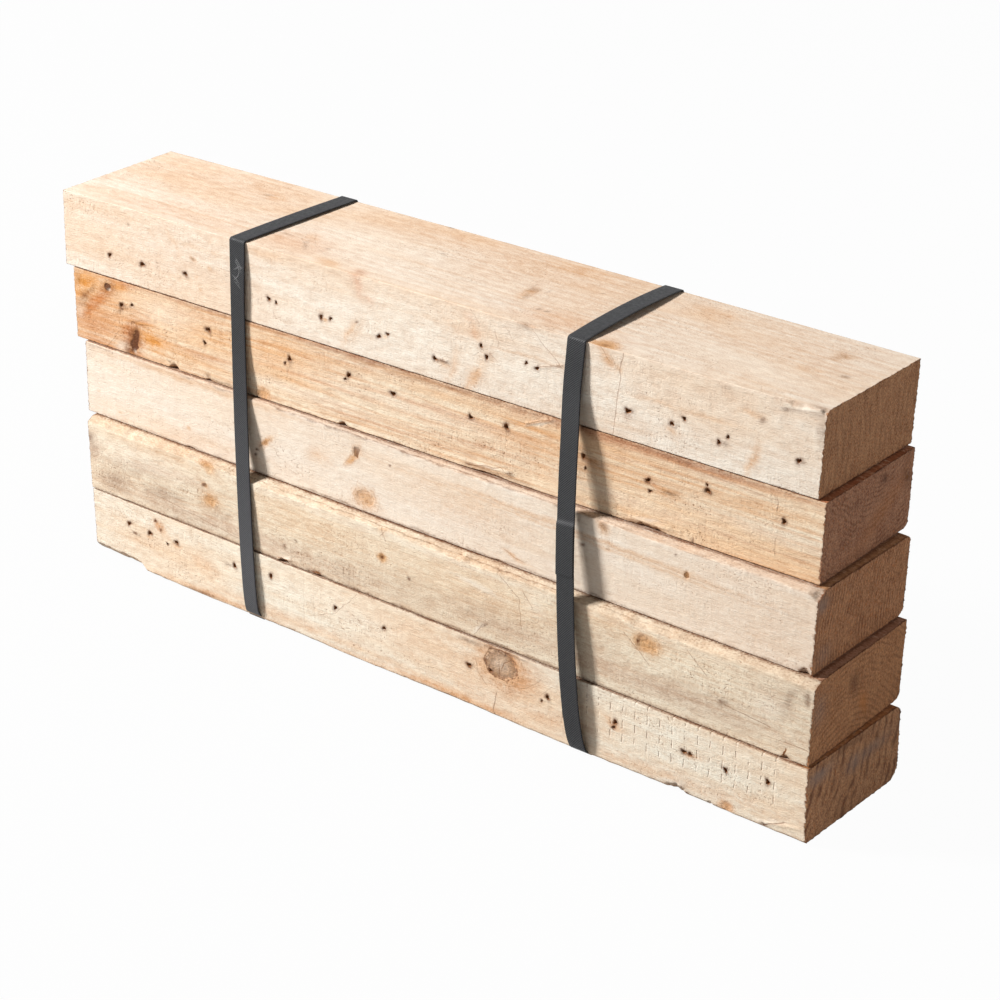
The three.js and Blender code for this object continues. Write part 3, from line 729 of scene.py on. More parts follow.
# stud_1, the top stud. Pale, evenly sawn and fuzzy, yellower at its left, and twisted, so that
# its back is lifted at the left end. Twenty nails were drawn from its front, mostly in pairs.
make_stud({
    "name": "stud_1", "seed": 100, "size": (525, 90.6, 46.2), "place": (-11.4, 5.9, 183.5),
    "turn": 0.41, "lean": (0.3, 0.6, 0.5, -0.4), "lift": (3.3, 0.3), "dirt_and_shade": (0.0, 0.9, 0.7),
    "ledge": (0, 0), "bark": 0.2, "fray": 0.25, "tear": 0.9,
    "nails": [
        (38, 14, 0.9), (65, 14.5, 1.05), (100, 16.7, 0.95), (165, 17, 0.9), (170.5, 16, 0.6),
        (204, 15.7, 0.95), (211, 16.5, 0.7), (246, 14.7, 0.9), (252, 17.5, 0.7), (285, 12, 0.95),
        (316, 27, 0.75), (320, 21.7, 0.85), (346, 25, 0.65), (353, 23.8, 0.85), (411, 15.7, 1.15),
        (438, 16, 0.9), (445, 20.7, 0.75), (466, 14, 0.8), (471, 18, 0.6), (512, 17, 0.9)],
    "chips": {("front", "top"): [(525, 8, 3, 3), (508, 26, 1.6, 2.0), (346, 14, 1.2, 1.2)]},
    "splinters": [(353, 24, 369, 29.5, 0.6, 0.3), (287, 12, 293, 12.5, 0.9, 0.5)],
    "front": {
        "resin": [
            (107, 27, 2.8, 1.7, 0.7, -15), (121, 25, 2.3, 1.2, 0.6, -20), (109, 17, 2.5, 1, 0.5),
            (112, 10, 1.6, 0.9, 0.5), (91, 34, 15, 3.5, 0.35, -52), (207.5, 15.2, 2.6, 1.2, 0.8),
            (250, 15.5, 2.2, 1.2, 0.7), (290, 10.5, 6, 1.6, 0.5, -8), (397, 41, 6, 3, 0.6, -45),
            (404, 37, 2, 2, 0.5), (225, 13, 9, 2.6, 0.6, 60), (312, 8, 11, 2.8, 0.65, 62),
            (298, 12, 12, 3, 0.35, 70), (318, 18, 5, 6, 0.4), (486, 9, 10, 2.4, 0.55, 72),
            (484, 34, 9, 1.8, 0.45), (460, 25, 24, 1.2, 0.4), (428, 25, 22, 1.1, 0.4),
            (88, 3, 9, 3, 0.3, 10), (305, 33, 16, 8, 0.25, -10), (343, 28.5, 30, 1, 0.45, 1),
            (161, 42, 14, 3, 0.35), (438, 13, 4, 2, 0.4, -20), (20, 40, 26, 5, 0.3),
            (321, 22, 4, 5, 0.5, 60), (314, 32, 9, 3, 0.35, -60), (230, 14, 9, 3, 0.25, 60),
            (80, 24, 70, 40, 0.2)],
        "heart": [
            (230, 42, 8, 3.4, 0.55, -62), (238, 35, 4, 2, 0.4, -20), (312, 33, 4, 3, 0.55, -45),
            (309, 41, 5, 3, 0.3), (410, 13, 3, 2, 0.3)],
        "brown": [
            (229.5, 20, 1.1, 1, 1.1), (107, 27, 1.3, 0.9, 0.7), (54, 37, 1, 0.9, 0.7),
            (490.5, 32.5, 1.6, 1.6, 0.7), (289, 12, 4.5, 0.8, 0.9), (320.5, 21.5, 1.8, 1.5, 0.6),
            (323, 23, 2, 1.6, 0.4), (470, 14, 2.2, 1.4, 0.6), (514, 17, 2.2, 1.4, 0.6),
            (441, 16.5, 2.2, 1.2, 0.6, 45), (346, 45, 6, 1.6, 0.45), (502, 41.5, 2.4, 1.4, 0.9),
            (508, 42.5, 6, 1.1, 0.6, 8), (519, 43.4, 6, 1.2, 0.5, 5), (523, 34, 2.6, 9, 0.4),
            (411, 14, 2.4, 1.7, 0.5, -30), (468, 44, 4, 1, 0.3)],
        "pale": [
            (207.5, 13.2, 2, 0.8, 0.8), (292, 13.8, 4, 0.8, 1), (325, 23, 2, 1.6, 0.8),
            (441, 17, 3, 1.2, 0.9, 30), (513, 44, 11, 1.6, 1, 8), (231, 19, 4, 0.7, 0.7, 62),
            (300, 24, 200, 12, 0.3)],
        "lines": [
            (406, 46, 403, 0, 0.85), (353, 24, 369, 29.5, 0.9), (287, 12, 293, 12, 0.9),
            (325, 38, 328, 30, 0.7), (308, 46, 315, 38, 0.5), (331, 42, 337, 35, 0.5),
            (350, 43, 369, 28, 0.7), (391, 47, 399, 39, 0.7), (399, 43, 403, 37, 0.6),
            (503, 42, 525, 45, 0.6), (322, 24, 327, 21, 0.6), (444, 25, 470, 25.5, 0.4),
            (300, 28.5, 369, 28, 0.4)],
    },
    "top": {
        "resin": [
            (111, 66, 14, 8, 0.6), (240, 78, 110, 20, 0.45, 3), (60, 60, 80, 30, 0.4),
            (130, 60, 50, 30, 0.35), (205, 5, 10, 4, 0.6, -10), (172, 30, 9, 5, 0.5, -40),
            (320, 80, 40, 14, 0.6), (412, 74, 22, 14, 0.5), (318.5, 38, 4.5, 12, 0.65, 5),
            (393, 3, 7.5, 5.5, 0.8), (440, 80, 60, 12, 0.3), (350, 40, 30, 20, 0.3),
            (100, 74, 46, 20, 0.5), (300, 72, 60, 24, 0.5), (360, 48, 50, 16, 0.4),
            (115, 46, 40, 14, 0.3), (98, 18, 60, 14, 0.35), (165, 18, 32, 15, 0.35),
            (360, 18, 36, 14, 0.45), (290, 48, 50, 14, 0.3), (320, 84, 90, 14, 0.4),
            (240, 34, 60, 10, 0.2), (460, 80, 40, 14, 0.25), (470, 50, 90, 46, 0.3),
            (330, 70, 70, 34, 0.4), (494, 66, 8, 9, 0.6), (486, 40, 10, 6, 0.5, -30),
            (494, 42, 5, 3, 0.6), (262, 45, 300, 70, 0.12), (98, 45, 50, 50, 0.18),
            (345, 48, 60, 34, 0.3)],
        "heart": [
            (228, 3.5, 5, 4, 0.7), (5, 30, 5, 6, 0.3), (180, 24, 17, 9, 0.3, -40),
            (393, 3, 3.5, 3, 0.5), (165, 18, 30, 13, 0.3), (360, 15, 30, 10, 0.25),
            (60, 12, 60, 10, 0.15)],
        "brown": [
            (177, 18, 7.5, 1.3, 0.6, -56), (190.5, 20, 2.4, 1.2, 0.55, -35),
            (228, 4, 2.5, 2, 0.35), (156, 25, 4, 1.2, 0.35), (318, 42, 3, 3, 0.5),
            (320, 33, 1.3, 5, 0.5, 25), (326, 45, 1.4, 3, 0.3), (337, 22, 1.3, 1, 0.7),
            (343, 22, 1.8, 1.1, 0.7), (508, 44, 2.6, 2, 0.6), (223, 90, 2, 1.4, 0.7),
            (247, 54, 2.2, 1.1, 0.6, -35), (350, 61, 1.3, 1, 0.6), (104, 67, 3, 1.4, 0.5),
            (346, 1, 5, 1.2, 0.4), (520, 2, 6, 2, 0.5), (393, 3, 2.2, 1.6, 0.7),
            (494, 67, 4, 6, 0.3), (262, 45, 300, 70, 0.04), (330, 75, 120, 22, 0.05)],
        "pale": [
            (30, 25, 34, 5, 0.6), (462, 28, 42, 11, 0.7, -6), (205, 42, 44, 18, 0.5),
            (250, 12, 30, 8, 0.4)],
        "lines": [
            (170, 35, 180, 22, 0.5), (180, 22, 197, 12, 0.4), (168, 25, 182, 13, 0.6),
            (315, 50, 317, 33, 0.6), (321, 45, 323, 30, 0.6), (200, 15, 350, 16, 0.35),
            (210, 30, 340, 34, 0.3), (230, 42, 350, 45, 0.25), (0, 22, 60, 25, 0.3),
            (0, 30, 60, 30, 0.3), (420, 20, 500, 34, 0.3)],
        "knots": [(393, 3, 6, 4.6, 0.1)],
    },
    "look": {
        "pith": (-64, 16, 0.35, 0.5), "ring": 5.2, "sway": 16, "ring_strength": 0.3,
        "streak": 0.45, "cloudy": 0.55, "coarse": 0.7, "fine": 0.3, "fleck": 0.5, "dirt_and_shade": 0.75,
        "relief": 0.8, "end_ring": 0.3},
    "colours": {
        "early": (255, 246, 232), "late": (230, 194, 160), "cloud": (248, 221, 192),
        "heart": (222, 160, 122), "resin": (228, 168, 104), "end_pale": (214, 162, 120),
        "end_dark": (140, 92, 62)},
})

# stud_2. Heartwood, streaked orange and red-brown along its whole length, with a slanting red
# patch at its left end, and a big dark knot cut through at the lower corner.
make_stud({
    "name": "stud_2", "seed": 200, "size": (523, 88.5, 44.8), "place": (-6.2, 5.2, 138.4),
    "turn": 0.43, "lean": (0.1, 0.4, -0.6, 0.5), "dirt_and_shade": (0.75, 0.95, 0.7), "ledge": (0.8, 0.6),
    "bark": 0.4, "fray": 0.6, "tear": 1.1,
    "nails": [
        (40, 30, 0.95), (49, 32, 0.8), (111, 31.7, 1.1), (108, 23, 0.75), (174, 30, 1.0),
        (170.5, 26.5, 0.55), (218, 31.7, 0.95), (215.5, 28.7, 0.6), (250, 29, 1.05),
        (304, 30, 0.9), (328, 31, 1.15), (378.5, 28.5, 0.9), (380, 22, 0.5), (419, 26.5, 0.85),
        (420.5, 21, 0.6), (455, 31.5, 1.0), (454.5, 34.5, 0.5), (500, 28, 0.9)],
    "wanes": {("back", "bottom"): [(1, 3, 0, 100)]},
    "chips": {
        ("front", "bottom"): [
            (82, 9, 3, 3), (213, 7, 3, 2.5), (421, 24, 2, 2.5), (318, 24, 1.5, 1.6),
            (110, 5, 1.5, 1.5)],
    },
    "splinters": [
        (341, 36.5, 358, 43, 0.7, 0.5), (303, 3.5, 331, 5, 1.1, 0.5),
        (409, 2.5, 433, 3, 1.0, 0.4)],
    "front": {
        "heart": [
            (15, 13, 30, 17, 0.62), (19, 27, 26, 4.5, 1.1, 42), (42, 43, 14, 2.6, 0.95, 6),
            (34, 41.5, 9, 3.4, 0.9, 20), (48, 11, 9, 12, 1.15, -12), (52, 20, 11, 4, 0.9, 28),
            # The heart stains at z 45 and 43.5, along the top edge, are partly red heartwood and
            # partly painted shade under stud_1's foot.
            (43, 14, 8, 5, 0.8, 40), (262, 45, 262, 2.6, 0.6), (300, 28, 55, 1.5, 0.38),
            (310, 15, 46, 1.6, 0.38, 2), (460, 40, 38, 1.7, 0.38, -4), (383, 26.5, 9, 1.4, 0.52),
            (424, 24, 6, 1.4, 0.38, -30), (110, 15, 26, 2.6, 0.38), (105, 37.5, 30, 3.6, 0.34),
            (230, 40, 60, 1.6, 0.3, 2), (250, 8, 60, 1.4, 0.3), (480, 10, 50, 1.1, 0.3),
            (180, 34, 40, 1.3, 0.3, -2), (200, 22, 50, 1.2, 0.3, 1), (400, 34, 50, 1.2, 0.3, 2),
            (400, 43.5, 130, 4, 0.7)],
        "resin": [
            (8, 36, 18, 10, 1, 20), (70, 14, 18, 9, 0.6, -10), (24, 24, 50, 30, 0.35),
            (86, 9, 26, 6, 0.5), (38, 41, 9, 4, 0.9), (66, 13, 13, 7, 0.95, -18),
            (58, 22.3, 12, 1.6, 1, 4), (353, 13, 10, 4.5, 0.6), (120, 30, 38, 14, 0.4),
            (432, 23, 9, 2.5, 0.5), (330, 20, 90, 12, 0.2), (490, 30, 40, 4, 0.25),
            (165, 30, 40, 14, 0.45), (350, 26, 44, 10, 0.4)],
        "brown": [
            (9, 28, 6, 3, 0.55, 42), (14, 33, 7, 2, 0.5, 45), (6, 22, 5, 1.4, 0.45, 10),
            (3, 38, 3, 5, 0.3), (39.5, 26.5, 3.8, 1.3, 0.8, 35), (43.5, 29, 1.4, 1.6, 0.5),
            (45, 5, 3.6, 7, 0.8, -14), (49, 9, 4, 9, 1.2, -16), (52, 14, 2.6, 5, 1.1, -10),
            (49.5, 21.8, 2.2, 0.6, 0.9, 10), (58, 21.5, 3, 0.7, 0.6, 10),
            (82, 2.5, 1.4, 2.6, 0.8, 10), (78, 4, 2.2, 0.8, 0.6, -30), (433, 23, 4.2, 1.2, 0.7),
            (213, 1.5, 3, 1.4, 0.8), (110, 2, 2, 3, 0.6), (303, 2.5, 3, 1.5, 0.8),
            (330, 4, 3, 1.7, 0.8, -30), (120, 0.8, 14, 1, 0.6), (418, 1.5, 13, 1.3, 0.7),
            (448, 1, 1.3, 1.7, 0.8), (328, 2, 20, 0.8, 0.5), (175, 27, 3, 1, 0.6, 60),
            # The six brown stains at z 44.5 to 45.8, along the top edge, are painted shade under
            # stud_1's foot.
            (378, 31, 3, 2, 0.5), (29, 38.5, 5, 3.6, 0.7, 25), (330, 45.6, 60, 1.5, 0.45),
            (420, 45.2, 110, 1.3, 0.35), (150, 45.8, 90, 1, 0.35), (300, 44.5, 130, 2.6, 0.45),
            (430, 44.6, 70, 2.4, 0.45), (150, 44.8, 80, 1.8, 0.35)],
        "pale": [
            (50.6, 2.4, 1.4, 1.6, 0.45), (29.6, 37, 1.4, 1.1, 0.7, 20), (39, 4, 5, 3, 0.7, 30),
            (3, 17, 4, 4, 0.4), (75, 32, 26, 9, 0.5, -3), (317, 4.6, 10, 0.7, 0.9, 4),
            (421, 4.5, 9, 0.9, 0.8, 5), (350, 38.5, 8, 0.7, 0.8, 21), (180, 12, 60, 4, 0.45),
            (250, 24, 90, 6, 0.4), (400, 12, 60, 4, 0.45), (500, 20, 40, 5, 0.4)],
        "lines": [
            (26, 0, 37, 12, 0.6), (26, 0.4, 34, 9, 0.6), (48, 21, 52, 22, 0.8),
            (55, 21, 68, 23, 0.7), (341, 36, 356, 43, 0.9), (303, 2, 325, 6, 0.9),
            (325, 6, 331, 3, 0.8), (495.5, 39, 495.5, 33, 0.8), (495.5, 17, 495.5, 9, 0.8),
            (270, 27.5, 345, 28.5, 0.4), (275, 16, 350, 14, 0.4), (450, 10.5, 523, 10, 0.5),
            (370, 30, 400, 29, 0.5), (430, 42, 495, 38, 0.5), (405, 3, 430, 2, 0.7),
            (378, 28, 388, 26, 0.6), (419, 26, 424, 22, 0.6), (448, 0, 448, 2.5, 0.9),
            (120, 35, 200, 33, 0.35), (190, 19, 260, 21, 0.3), (230, 37, 330, 36, 0.3)],
        "knots": [
            (50, 9, 2.6, 7.5, 1, -16), (153, 3.5, 3.4, 2.6, 0.05), (29, 38.6, 3, 2.2, 0.9, 25)],
    },
    "end": {
        "brown": [(58, 38, 3, 2, 0.9), (30, 33, 4, 3, 0.4), (83, 30, 3.5, 5, 0.8, 40)],
        "black": [(82, 30, 1.4, 2.4, 0.7, 50)],
        "resin": [(60, 20, 30, 6, 0.3, 30)],
    },
    "look": {
        "pith": (57, 82, 0.15, 0.25), "ring": 3.0, "sway": 30, "ring_strength": 0.5, "streak": 1.7,
        "cloudy": 0.6, "coarse": 0.72, "fine": 0.55, "fleck": 0.8, "dirt_and_shade": 0.95, "relief": 1.0,
        "end_ring": 0.45},
    "colours": {
        "early": (255, 239, 213), "late": (226, 168, 116), "cloud": (250, 208, 162),
        "heart": (200, 130, 90), "resin": (236, 164, 84), "end_pale": (208, 156, 122),
        "end_dark": (134, 86, 64)},
})

# stud_3, the middle one. The palest and cleanest, quarter-sawn, with a few small knots, a worn
# back and one corner broken off at the right end. It was never nailed.
make_stud({
    "name": "stud_3", "seed": 300, "size": (519, 89.6, 45.6), "place": (0, 0.9, 92.5),
    "turn": -0.29, "lean": (0.3, 0.4, 0.0, 0.0), "dirt_and_shade": (0.25, 0.9, 0.95), "ledge": (1.0, 7.6),
    "bark": 0.4, "fray": 0.35, "tear": 1.1,
    "wanes": {
        ("front", "top"): [(0.8, 1.6, 0, 100, 2.4)],
        ("back", "top"): [(1.5, 2.5, 0, 100)],
        ("back", "bottom"): [(2, 3.5, 0, 100)],
    },
    "chips": {
        ("front", "top"): [(519, 14, 6, 4), (385, 14, 1.2, 1.6)],
        ("front", "bottom"): [(88, 10, 1, 1), (322, 12, 1, 1.4), (515, 9, 2, 3)],
    },
    "front": {
        "resin": [
            (376, 33.5, 150, 1.6, 0.5, -1.6), (376, 30.5, 150, 1, 0.45, -1.6),
            (149, 21, 7, 2, 0.9, 38), (214, 29.5, 6, 1.5, 0.9, 52), (225, 9, 9, 4.5, 0.45, -8),
            (95, 42.5, 90, 2, 0.5), (190, 24, 9, 5, 0.45), (300, 24, 44, 12, 0.25),
            (500, 20, 50, 30, 0.18), (95, 6, 70, 5, 0.25, 4), (388, 41, 3.4, 4, 0.7, 25),
            (87, 13, 2.2, 1.4, 0.7), (331, 6.5, 8, 1.1, 0.7, -14), (28, 6, 2, 1, 0.6),
            (10, 16, 2, 1, 0.6)],
        "brown": [
            (142, 15, 0.9, 0.9, 1.2), (142, 11, 0.9, 0.9, 1.2), (243, 34, 1, 0.9, 1.2),
            (218.5, 35, 1.7, 2.4, 0.8, -25), (376, 27, 1.4, 1.1, 0.9), (435, 40, 0.9, 0.9, 0.8),
            # The two brown stains that run the whole length, at z 0.6 and 45.2, are painted shade
            # at the joints with the studs above and below.
            (388, 42, 2, 3, 0.6, 30), (514, 2, 4, 2, 0.9), (260, 0.6, 260, 0.8, 0.6),
            (260, 45.2, 260, 0.8, 0.7)],
        "pale": [(250, 38, 60, 3, 0.4), (60, 33, 60, 4, 0.4)],
        "lines": [
            (200, 37, 300, 34.5, 0.35), (300, 34.5, 400, 32, 0.35), (400, 32, 518, 28.5, 0.4),
            (208, 8, 208, 0, 0.6), (296, 7, 296, 2, 0.6), (0, 41, 120, 43, 0.35),
            (0, 44.5, 110, 44, 0.35), (144, 17, 154, 25, 0.5), (325, 8, 331, 5.5, 0.7),
            (331, 5.5, 338, 5, 0.7), (209, 24, 216, 33, 0.5)],
        "knots": [
            (149, 21, 2.2, 1.6, 0.3, 30), (218.5, 35, 2.4, 3.4, 0.5, -25),
            (225, 9, 6, 4.6, 0.03, -8), (441.5, 31, 1.6, 1.6, 0.5)],
    },
    "end": {
        "grey": [(4, 38, 6, 5, 0.8), (10, 8, 8, 6, 0.4)],
    },
    "look": {
        "pith": (140, 12, -0.1, 0.2), "ring": 2.7, "sway": 9, "ring_strength": 0.16, "streak": 0.3,
        "cloudy": 0.4, "coarse": 0.38, "fine": 0.3, "fleck": 0.4, "dirt_and_shade": 0.8, "relief": 0.75,
        "end_ring": 0.5},
    "colours": {
        "early": (255, 245, 231), "late": (229, 196, 160), "cloud": (249, 222, 192),
        "heart": (222, 172, 126), "resin": (226, 172, 116), "end_pale": (212, 156, 114),
        "end_dark": (140, 92, 62)},
})

# stud_4. Greyed by blue stain along the lower half of its face, with two soft orange knots at
# its left, and the log's own round edge, brown from the bark, along the top front corner.
make_stud({
    "name": "stud_4", "seed": 400, "size": (519, 91.4, 47.1), "place": (5.6, -5.4, 45.1),
    "turn": -0.16, "lean": (-0.9, 0.6, -0.8, 0.2), "dirt_and_shade": (0.1, 0.9, 0.85), "ledge": (6.9, 5.7),
    "bark": 0.25, "fray": 0.45, "tear": 1.1,
    "wanes": {("front", "top"): [(3.8, 3.2, 0, 100, 1.7)], ("back", "bottom"): [(2, 3, 0, 100)]},
    "chips": {("front", "bottom"): [(162, 10, 3, 2.5), (189, 8, 2, 1.5), (505, 6, 2, 3)]},
    "splinters": [(157, 1, 167, 3, 0.8, 0.6), (186, 1, 193, 1.6, 0.7, 0.4)],
    "front": {
        "grey": [
            (22, 11, 15, 7, 0.75), (62, 14, 20, 6, 0.75, 4), (111, 14, 12, 6, 0.42),
            (40, 24, 30, 7, 0.47, 10), (85, 6, 46, 6, 0.42), (4, 29, 6, 10, 0.54),
            (209, 9, 14, 8, 0.42), (318, 13, 46, 11, 0.39), (310, 10, 8, 6, 0.36),
            (445, 12, 60, 10, 0.42, 3), (500, 30, 24, 18, 0.27), (465, 18, 10, 4, 0.36),
            (256, 20.5, 2, 1.6, 0.63), (380, 20, 30, 14, 0.29), (70, 20, 80, 22, 0.21),
            (250, 12, 80, 12, 0.27), (180, 10, 60, 8, 0.27)],
        "heart": [
            (120, 8, 120, 6, 0.4), (60, 28, 40, 3, 0.4, 5), (4, 28, 6, 9, 0.48),
            (400, 12, 110, 6, 0.32)],
        "resin": [
            (102, 43, 9, 5, 0.7, -15), (103, 22, 9, 6, 0.7, 10), (417, 35, 9, 6, 0.7, -10),
            (238, 44, 5, 3, 0.5, 40), (260, 45.5, 260, 2.2, 0.2), (60, 40, 60, 6, 0.35),
            (180, 30, 50, 14, 0.3), (385, 40, 30, 6, 0.4), (320, 26, 70, 22, 0.22),
            (237, 27, 4.6, 3.2, 0.8)],
        "brown": [
            (163, 11, 1.5, 1.2, 0.8), (171, 17, 1, 0.9, 0.9), (1, 34, 2.4, 3, 1),
            (237, 27, 1.5, 1.2, 1.2), (256, 20.5, 1.2, 1, 0.9), (310, 9, 4, 1.1, 0.8, 40),
            (465, 18, 3, 1.6, 0.8, 20), (515, 38, 2, 4, 0.9), (185, 1.2, 10, 1, 0.9),
            # The two brown stains that run the whole length, at z 46.6 and 0.5, are painted shade
            # at the joints with the studs above and below.
            (412, 35, 1, 2.6, 1.2, -10), (99, 31, 1.4, 1, 1, 20), (260, 46.6, 260, 0.7, 0.7),
            (260, 0.5, 260, 1, 0.7), (505, 34, 10, 3, 0.4, 60)],
        "pale": [
            (305, 32, 16, 1.6, 0.8, -8), (306, 5.5, 4, 1, 0.9, 50), (163, 3.2, 5, 0.8, 1, 8),
            (492, 26, 10, 7, 0.5), (345, 33, 5, 8, 0.4, 40), (260, 41, 200, 2.4, 0.4),
            (40, 33, 46, 9, 0.5)],
        "black": [
            (162, 1.8, 4, 0.7, 0.9, 10), (188, 1.4, 3, 0.6, 0.8), (504.3, 3.5, 0.6, 3.4, 0.9)],
        "lines": [
            (50, 12, 90, 8, 0.7), (90, 8, 125, 4, 0.7), (103, 22, 110, 22, 0.7),
            (208, 4, 208, 12, 0.5), (212, 4, 212, 12, 0.5), (216, 4, 216, 12, 0.5),
            (220, 4, 220, 11, 0.5), (236, 46, 240, 38, 0.8), (240, 45, 236, 40, 0.7),
            (321, 43, 333, 34, 0.8), (337, 38, 343, 31, 0.8), (334, 34, 336, 16, 0.8),
            (304, 2, 310, 9, 0.7), (404, 36, 420, 24, 0.8), (443, 40, 455, 30, 0.8),
            (468, 17, 495, 14, 0.9), (504, 9, 517, 9, 0.9), (0, 5.5, 60, 6, 0.5),
            (297, 34, 318, 30, 0.35), (300, 30, 322, 28, 0.35), (183, 1.5, 190, 1.5, 1),
            (157, 2, 167, 2, 1)],
        "knots": [
            (102, 43, 4, 2.4, 0.05, -20), (103, 22, 4.2, 2.4, 0.06, 10), (237, 27, 2.4, 1.8, 0.2),
            (418, 35, 6, 4, 0.05, -8), (99, 31, 2, 1.2, 0.4)],
    },
    "end": {
        "brown": [(40, 32, 5, 6, 0.7, 20)],
        "grey": [(6, 30, 7, 9, 0.5)],
        "resin": [(52, 15, 8, 3, 0.8, -60)],
    },
    "look": {
        "pith": (36, -34, 0.1, 0.35), "ring": 3.4, "sway": 14, "ring_strength": 0.25,
        "streak": 0.35, "cloudy": 0.3, "coarse": 0.78, "fine": 0.48, "fleck": 0.7, "dirt_and_shade": 0.85,
        "relief": 0.95, "end_ring": 0.4},
    "colours": {
        "early": (255, 245, 223), "late": (226, 186, 146), "cloud": (240, 211, 179),
        "heart": (206, 160, 132), "resin": (227, 168, 102), "grey": (182, 156, 134),
        "end_pale": (218, 160, 114), "end_dark": (144, 94, 62)},
})

# stud_5, the bottom stud. Planed by a toothed feed roller that left rows of short upright
# dashes, with one big loose knot, a split and waned lower edge, and a log-round back.
make_stud({
    "name": "stud_5", "seed": 500, "size": (518, 89.5, 43.7), "place": (7.0, -6.6, 1.1),
    "turn": -0.39, "lean": (0.0, -1.1, 1.5, 0.9), "dirt_and_shade": (0.7, 0.45, 0.9), "ledge": (0.2, 2.2),
    "bark": 0.4, "fray": 0.8, "tear": 1.3,
    "nails": [
        (31, 29, 0.9), (49, 28, 1.0), (72, 29, 1.0), (64, 25.5, 0.55), (120.5, 29, 0.95),
        (150, 32, 0.95), (200.5, 28, 0.9), (237.5, 27.5, 0.85), (299.5, 26, 1.0), (314.5, 28, 0.7),
        (354, 25.5, 0.9), (350, 22, 0.5), (399, 27, 0.95), (398, 23.5, 0.7), (443, 26, 1.0),
        (447, 26, 0.8), (469, 25, 0.9), (494.5, 28, 0.95)],
    "wanes": {
        ("front", "bottom"): [(7, 4.5, 0, 7.5), (1.2, 2, 8, 100)],
        ("back", "top"): [(2, 3.5, 0, 100)],
        ("back", "bottom"): [(3, 6, 0, 100)],
    },
    "chips": {
        ("front", "bottom"): [
            (438, 17, 5, 5), (460, 22, 2, 2.4), (250, 40, 1.5, 1.4), (300, 30, 1.6, 2.0),
            (130, 40, 1.2, 1.2)],
    },
    "splinters": [(490, 3, 514, 8, 1.0, 0.4)],
    "front": {
        "resin": [
            (58, 35, 7, 4, 0.8, -30), (322, 30, 30, 20, 0.45), (292, 3.5, 58, 3.5, 0.75),
            (355, 12, 30, 6, 0.4, 5), (300, 14, 24, 10, 0.35, -20), (280, 30, 40, 20, 0.2),
            (180, 8, 80, 4, 0.35), (440, 8, 80, 5, 0.3, 3), (398, 25, 5, 2.2, 0.8, -20),
            (448, 25.5, 6, 1.4, 0.7), (470, 4, 6, 4, 0.5), (95, 20, 12, 8, 0.3, -30),
            (30, 28, 60, 30, 0.15), (49, 26, 4, 1.4, 0.6), (72, 27, 4, 1.4, 0.6),
            (110, 2, 60, 3, 0.6), (230, 1.5, 60, 2.5, 0.45)],
        "heart": [(331, 39, 7, 2.6, 0.8, -40), (338, 28, 12, 7, 0.45, 35)],
        "brown": [
            (55, 38, 1.7, 1.2, 1.2), (59, 33, 1.5, 1.1, 1.1), (37, 24, 2.2, 0.8, 1),
            (115, 28, 3, 1, 0.7), (56, 0.8, 6, 1, 0.9), (438, 3.5, 7, 2, 0.8, 20),
            (446, 2, 1.7, 1.4, 1.1), (493, 3, 1.7, 1.6, 1), (282, 0.8, 10, 1, 0.7),
            (300, 41, 6, 1.2, 0.7), (322, 42.5, 14, 1, 0.9), (443, 25.6, 4, 1, 0.7),
            (92, 1.2, 14, 1.4, 0.7), (150, 1, 30, 1, 0.5)],
        "pale": [
            (436, 5, 8, 1.2, 1, 15), (498, 6.5, 8, 1.2, 0.8, 20), (118, 26.5, 2.6, 1.2, 0.8),
            (200, 30, 50, 12, 0.35), (322, 34, 7.5, 5.5, 0.55)],
        "lines": [
            (320.5, 34, 321, 26, 1), (322, 32, 325, 36, 1), (325, 36, 329, 39, 0.9),
            (319, 15, 317, 4, 1), (317, 4, 318, 0, 1), (304, 32, 306, 24, 0.7),
            (306, 24, 312, 18, 0.7), (325, 22, 340, 26, 0.6), (340, 26, 350, 35, 0.6),
            (328, 19, 348, 24, 0.5), (348, 24, 357, 33, 0.5), (180, 16, 200, 24, 0.6),
            (200, 24, 217, 42, 0.6), (493, 2, 505, 8, 1), (434, 4, 434, 0, 1),
            (461, 30, 461, 24, 0.4), (176, 42, 176, 6, 0.4), (184, 42, 184, 6, 0.4),
            (60, 40, 60, 14, 0.3), (110, 40, 110, 14, 0.3), (235, 38, 235, 12, 0.3),
            (333, 35, 330, 41, 0.8), (330, 41, 322, 43.4, 0.8), (322, 43.4, 314, 41, 0.7),
            (314, 41, 310.5, 35, 0.9), (310.5, 35, 312, 28, 0.9), (312, 28, 318, 25.2, 0.8),
            (318, 25.2, 326, 25.4, 0.9), (326, 25.4, 332, 29, 0.9), (332, 29, 333, 35, 0.9)],
        "knots": [(322, 34, 11.2, 8.6, 0.42), (470, 4, 3.2, 2.6, 0.05)],
    },
    "end": {
        "grey": [(11, 36, 12, 4, 0.9), (45, 28, 8, 5, 0.7), (62, 29, 18, 4, 0.6, 5)],
        "brown": [(40, 41, 24, 2, 0.6)],
    },
    "look": {
        "pith": (-70, 62, 0.2, 0.3), "ring": 6.4, "sway": 14, "ring_strength": 0.25, "streak": 0.5,
        "cloudy": 0.55, "coarse": 0.8, "fine": 0.4, "fleck": 0.7, "dirt_and_shade": 0.8, "relief": 0.9,
        "end_ring": 0.8, "roller": (116.0, 250.0, 20.3)},
    "colours": {
        "early": (255, 249, 233), "late": (240, 204, 164), "cloud": (254, 224, 190),
        "heart": (214, 152, 100), "resin": (228, 164, 104), "end_pale": (226, 172, 128),
        "end_dark": (146, 97, 68)},
})


# ---------------------------------------------------------------------------------------------
# The straps. Two bands of charcoal polypropylene strapping, embossed with fine slanting ribs,
# drawn round the stack and closed by pressing their two ends together hot.
# ---------------------------------------------------------------------------------------------

